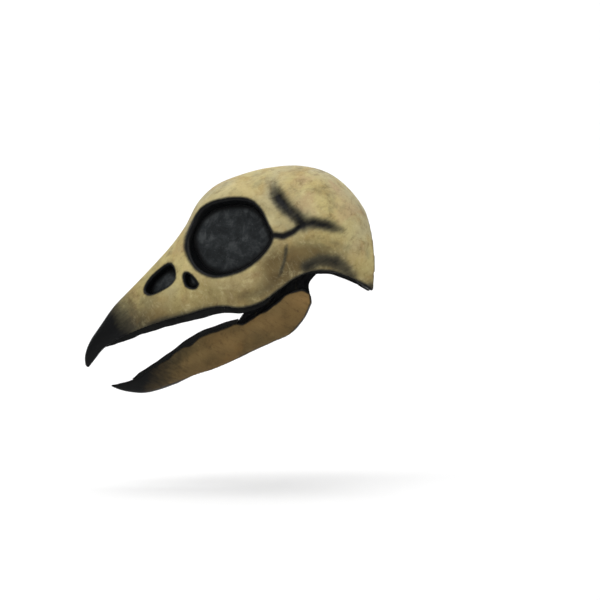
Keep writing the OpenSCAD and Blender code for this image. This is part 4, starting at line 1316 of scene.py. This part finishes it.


# ---------------------------------------------------------------- brushed black and brown of the paint, painted shade and painted highlights
def skull_paint(obj):
    p = points_of(obj)
    x, y, z = p.T
    height, dark = relief(y, z)
    side = side_mask(x)
    dark *= side
    lip = curve_of(SKULL, (2, 3))
    d_lip, _ = segments_distance(y, z, lip)
    # The beak turns black towards its tip, further back along its lower edge
    beak = -0.734 * y - 0.679 * z
    dark = np.maximum(dark, np.clip((beak - 194) / 76, 0, 1) ** 1.15)
    # Painted shade on the walls of the openings, with black brushed round their rims
    for hole, spread in ((EYE, 4.0), (NOSTRIL, 3.0), (FENESTRA, 2.8)):
        origin, back, up, n = hole_axes(hole)
        local = np.stack([np.abs(x), y, z], -1) - origin
        d = polygon_distance(local @ back, local @ up, hole[3])
        near = np.abs(local @ n) < 45
        dark = np.maximum(dark, near * np.where(d < 0.5, 1.2, bell(np.maximum(d, 0), spread)))
    # Black paint along the lip's edge, which widens towards the rear into painted shade
    dark = np.maximum(dark, (0.8 + 0.3 * np.clip(y / 60, 0, 1)) * bell(d_lip, 3.4 + 2 * np.clip(y / 60, 0, 1)) * side)
    dark = np.maximum(dark, 0.55 * bell(d_lip, 8) * np.clip((-40 - y) / 120, 0, 1))
    # Painted shade along the rear trim, in the lower rear corner and over the rear lip
    d_trim = np.abs(polygon_distance(y, z, REAR_TRIM))
    dark = np.maximum(dark, 0.5 * bell(d_trim, 2.5) * np.clip((-y + 200) / 100, 0, 1))
    corner = np.hypot(y - 97, z + 58)
    dark = np.maximum(dark, 0.8 * bell(corner, 12))
    dark = np.maximum(dark, 0.5 * bell(d_lip, 10) * np.clip((y - 50) / 40, 0, 1))
    # Mostly painted shade, browner over the lower parts and in the hollows of the cheek, together with the brown of
    # the paint towards the beak
    tone_and_shade = 0.62 * bell(d_lip, 26) + 0.42 * bell(segments_distance(y, z, ZYGOMATIC)[0], 24)
    tone_and_shade += 0.62 * bell(np.hypot((y - 6) / 1.8, z + 10), 17)
    tone_and_shade += 0.6 * bell(np.hypot((y + 38) / 0.8, z + 20), 22)
    tone_and_shade += 0.5 * np.clip((beak - 150) / 80, 0, 1)
    tone_and_shade += 0.25 * bell(segments_distance(y, z, POSTORBITAL)[0], 12)
    set_attribute(obj, "black_paint_and_shade", dark)
    set_attribute(obj, "tone_and_shade", np.clip(tone_and_shade, 0, 1))
    # Painted highlight on the raised ridges
    set_attribute(obj, "ridge_highlight", np.clip(height / 3.2, 0, 1) * side)


def jaw_paint(obj):
    p = points_of(obj)
    x, y, z = p.T
    top, _ = segments_distance(y, z, curve_of(JAW, (0, 1)))
    bottom, _ = segments_distance(y, z, curve_of(JAW, (2, 3)))
    side = np.clip((np.abs(x) - 4) / 10, 0, 1)
    dark = 1.1 * bell(np.maximum(top - chips(y), 0), 2.8)
    dark = np.maximum(dark, 1.1 * bell(bottom, 3.4))
    dark = np.maximum(dark, np.clip((-y - 148 + 0.35 * (z + 180)) / 74, 0, 1) ** 1.1)
    rear, _ = segments_distance(y, z, [(15, -63), (16.5, -76), (7, -98), (-11, -119)])
    dark = np.maximum(dark, 1.05 * bell(rear, 3.2))
    pale = 0.85 * bell(np.hypot(y - 4, z + 72), 22) + 0.5 * bell(np.hypot((y + 42) / 1.7, (z + 104) / 0.8), 20)
    pale += 0.45 * bell(np.hypot((y + 106) / 1.5, z + 128), 18)
    set_attribute(obj, "black_paint_and_shade", dark)
    set_attribute(obj, "tone_and_shade", np.clip(pale, 0, 1))
    # Painted highlight on the raised ridges
    set_attribute(obj, "ridge_highlight", np.clip(jaw_relief(y, z) / 1.6, 0, 1) * side)


# ---------------------------------------------------------------- putting it together
def dress(obj, material):
    obj.data.materials.clear()
    obj.data.materials.append(material)


def add(obj, body, slot, material, *replaced):
    dress(obj, material)
    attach(obj, body)
    if replaced:
        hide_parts(*replaced)
    return obj


BONE, JAW_BONE, LATEX, MESH = bone_material(), jaw_material(), lining_material(), mesh_material()
FABRIC, FOAM, WEB, THREAD = gusset_material(), foam_material(), webbing_material(), thread_material()
HEM, STEEL, NYLON, RESIN, SLIDE = (
    hem_material(), steel_material(), nylon_material(), resin_material(), slide_material())

skull = add(build_skull(), "skull", "bone", BONE, "skull_shell")
skull_paint(skull)
jaw = add(build_jaw(), "jaw", "jaw_bone", JAW_BONE, "jaw_shell")
jaw_paint(jaw)
add(palate_lining(), "skull", "lining", LATEX, "palate_lining")
add(jaw_lining(), "jaw", "lining", LATEX, "jaw_lining")

for side, word in ((LEFT, "left"), (RIGHT, "right")):
    add(lip_lining(side), "skull", "lining", LATEX, word + "_lip_lining")
    for kind, bulge in (("eye", 3.2), ("nostril", 1.2), ("fenestra", 0.5)):
        sheet, hem, size, area = mesh_panel(f"{word}_{kind}_screen", HOLES[kind], side, bulge)
        add(sheet, "skull", "mesh", MESH, f"{word}_{kind}_mesh")
        add(hem, "skull", "mesh", HEM)
    gusset, wide, area = cheek_gusset(side)
    dress(gusset, FABRIC)
    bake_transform(gusset)
    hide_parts(word + "_cheek_gusset")
    pad, welt = face_pad(word + "_temple_foam", (12.8, 14), (0.52, 0.74), 12, 1.5, side, off_wall=3.2)
    add(pad, "skull", "foam", FOAM, word + "_temple_pad")
    add(welt, "skull", "foam", HEM)

for name, us, ws, thick, crown in (("brow", (8.7, 10.1), (-0.2, 0.2), 28, 2.5), ("crown", (11.6, 13.8), (-0.1, 0.1), 8, 1.5)):
    pad, welt = face_pad(name + "_foam", us, ws, thick, crown)
    add(pad, "skull", "foam", FOAM, name + "_pad")
    add(welt, "skull", "foam", HEM)
pad, welt = chin_pad()
add(pad, "jaw", "foam", FOAM, "chin_pad")
add(welt, "jaw", "foam", HEM)

for name, spec in (("upper", UPPER), ("lower", LOWER)):
    band, thread = head_strap(name + "_webbing", spec)
    add(band, "skull", "webbing", WEB, name + "_strap")
    add(thread, "skull", "webbing", THREAD)
band, thread = chin_strap()
add(band, "jaw", "webbing", WEB, "chin_strap")
add(thread, "jaw", "webbing", THREAD)

for name in ("upper", "lower"):
    add(rounded_copy(name + "_strap_slide", 0.5), name + "_slide", "slide", SLIDE, name + "_strap_slide")
for word in ("left", "right"):
    add(rounded_copy(word + "_hinge_plate", 0.4), "skull", "steel", STEEL, word + "_hinge_plate")
    add(rounded_copy(word + "_jaw_arm", 0.4), "jaw", "steel", STEEL, word + "_jaw_arm")
for node in ("hinge_plate_screws", "left_pivot_screw", "right_pivot_screw", "upper_strap_screws",
             "lower_strap_screws", "jaw_arm_screws", "chin_strap_screws"):
    dress(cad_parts[node], STEEL)
for node in ("left_pivot_washer", "right_pivot_washer"):
    dress(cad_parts[node], NYLON)
for word in ("left", "right"):
    for kind in ("hinge_block", "upper_anchor", "lower_anchor", "arm_block", "chin_anchor"):
        dress(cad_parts[f"{word}_{kind}"], RESIN)

# Floor that curves up into a backdrop, low enough for the jaw to swing open above it
JAW_ROOM = 0.13
low_z = float(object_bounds()[0][2]) - JAW_ROOM
profile = [(6.0, 0), (-3.4, 0)] + [(-3.4 - 0.9 * math.sin(a), 0.9 - 0.9 * math.cos(a))
                                  for a in np.linspace(0.1, math.pi / 2, 16)] + [(-4.3, 3.4)]
floor_points = [(a * 1000, b, (low_z + c) * 1000) for a, c in profile for b in (-6000, 6000)]
floor = new_mesh("floor", floor_points, [(2 * i, 2 * i + 1, 2 * i + 3, 2 * i + 2) for i in range(len(profile) - 1)])
dress(floor, floor_material())

add_camera()
add_area("key", (1.5, -0.8, 2.3), (0, -0.05, -0.05), 2.2, 35)
add_area("fill", (2.6, 1.2, 0.5), (0, 0, -0.05), 1.8, 6)
add_area("top", (-0.3, 0.1, 2.4), (0, 0, 0), 2.2, 18)
add_area("wash", (-0.9, 0, 2.6), (-1.9, 0, 0.4), 1.8, 14)
add_area("wash_far", (-2.9, 0, 2.6), (-4.1, 0, 0.2), 2.4, 40)
bpy.context.scene.view_settings.view_transform = "Standard"
world = bpy.data.worlds.new("studio")
world.use_nodes = True
world.node_tree.nodes["Background"].inputs["Color"].default_value = (1, 1, 1, 1)
world.node_tree.nodes["Background"].inputs["Strength"].default_value = 0.5
bpy.context.scene.world = world
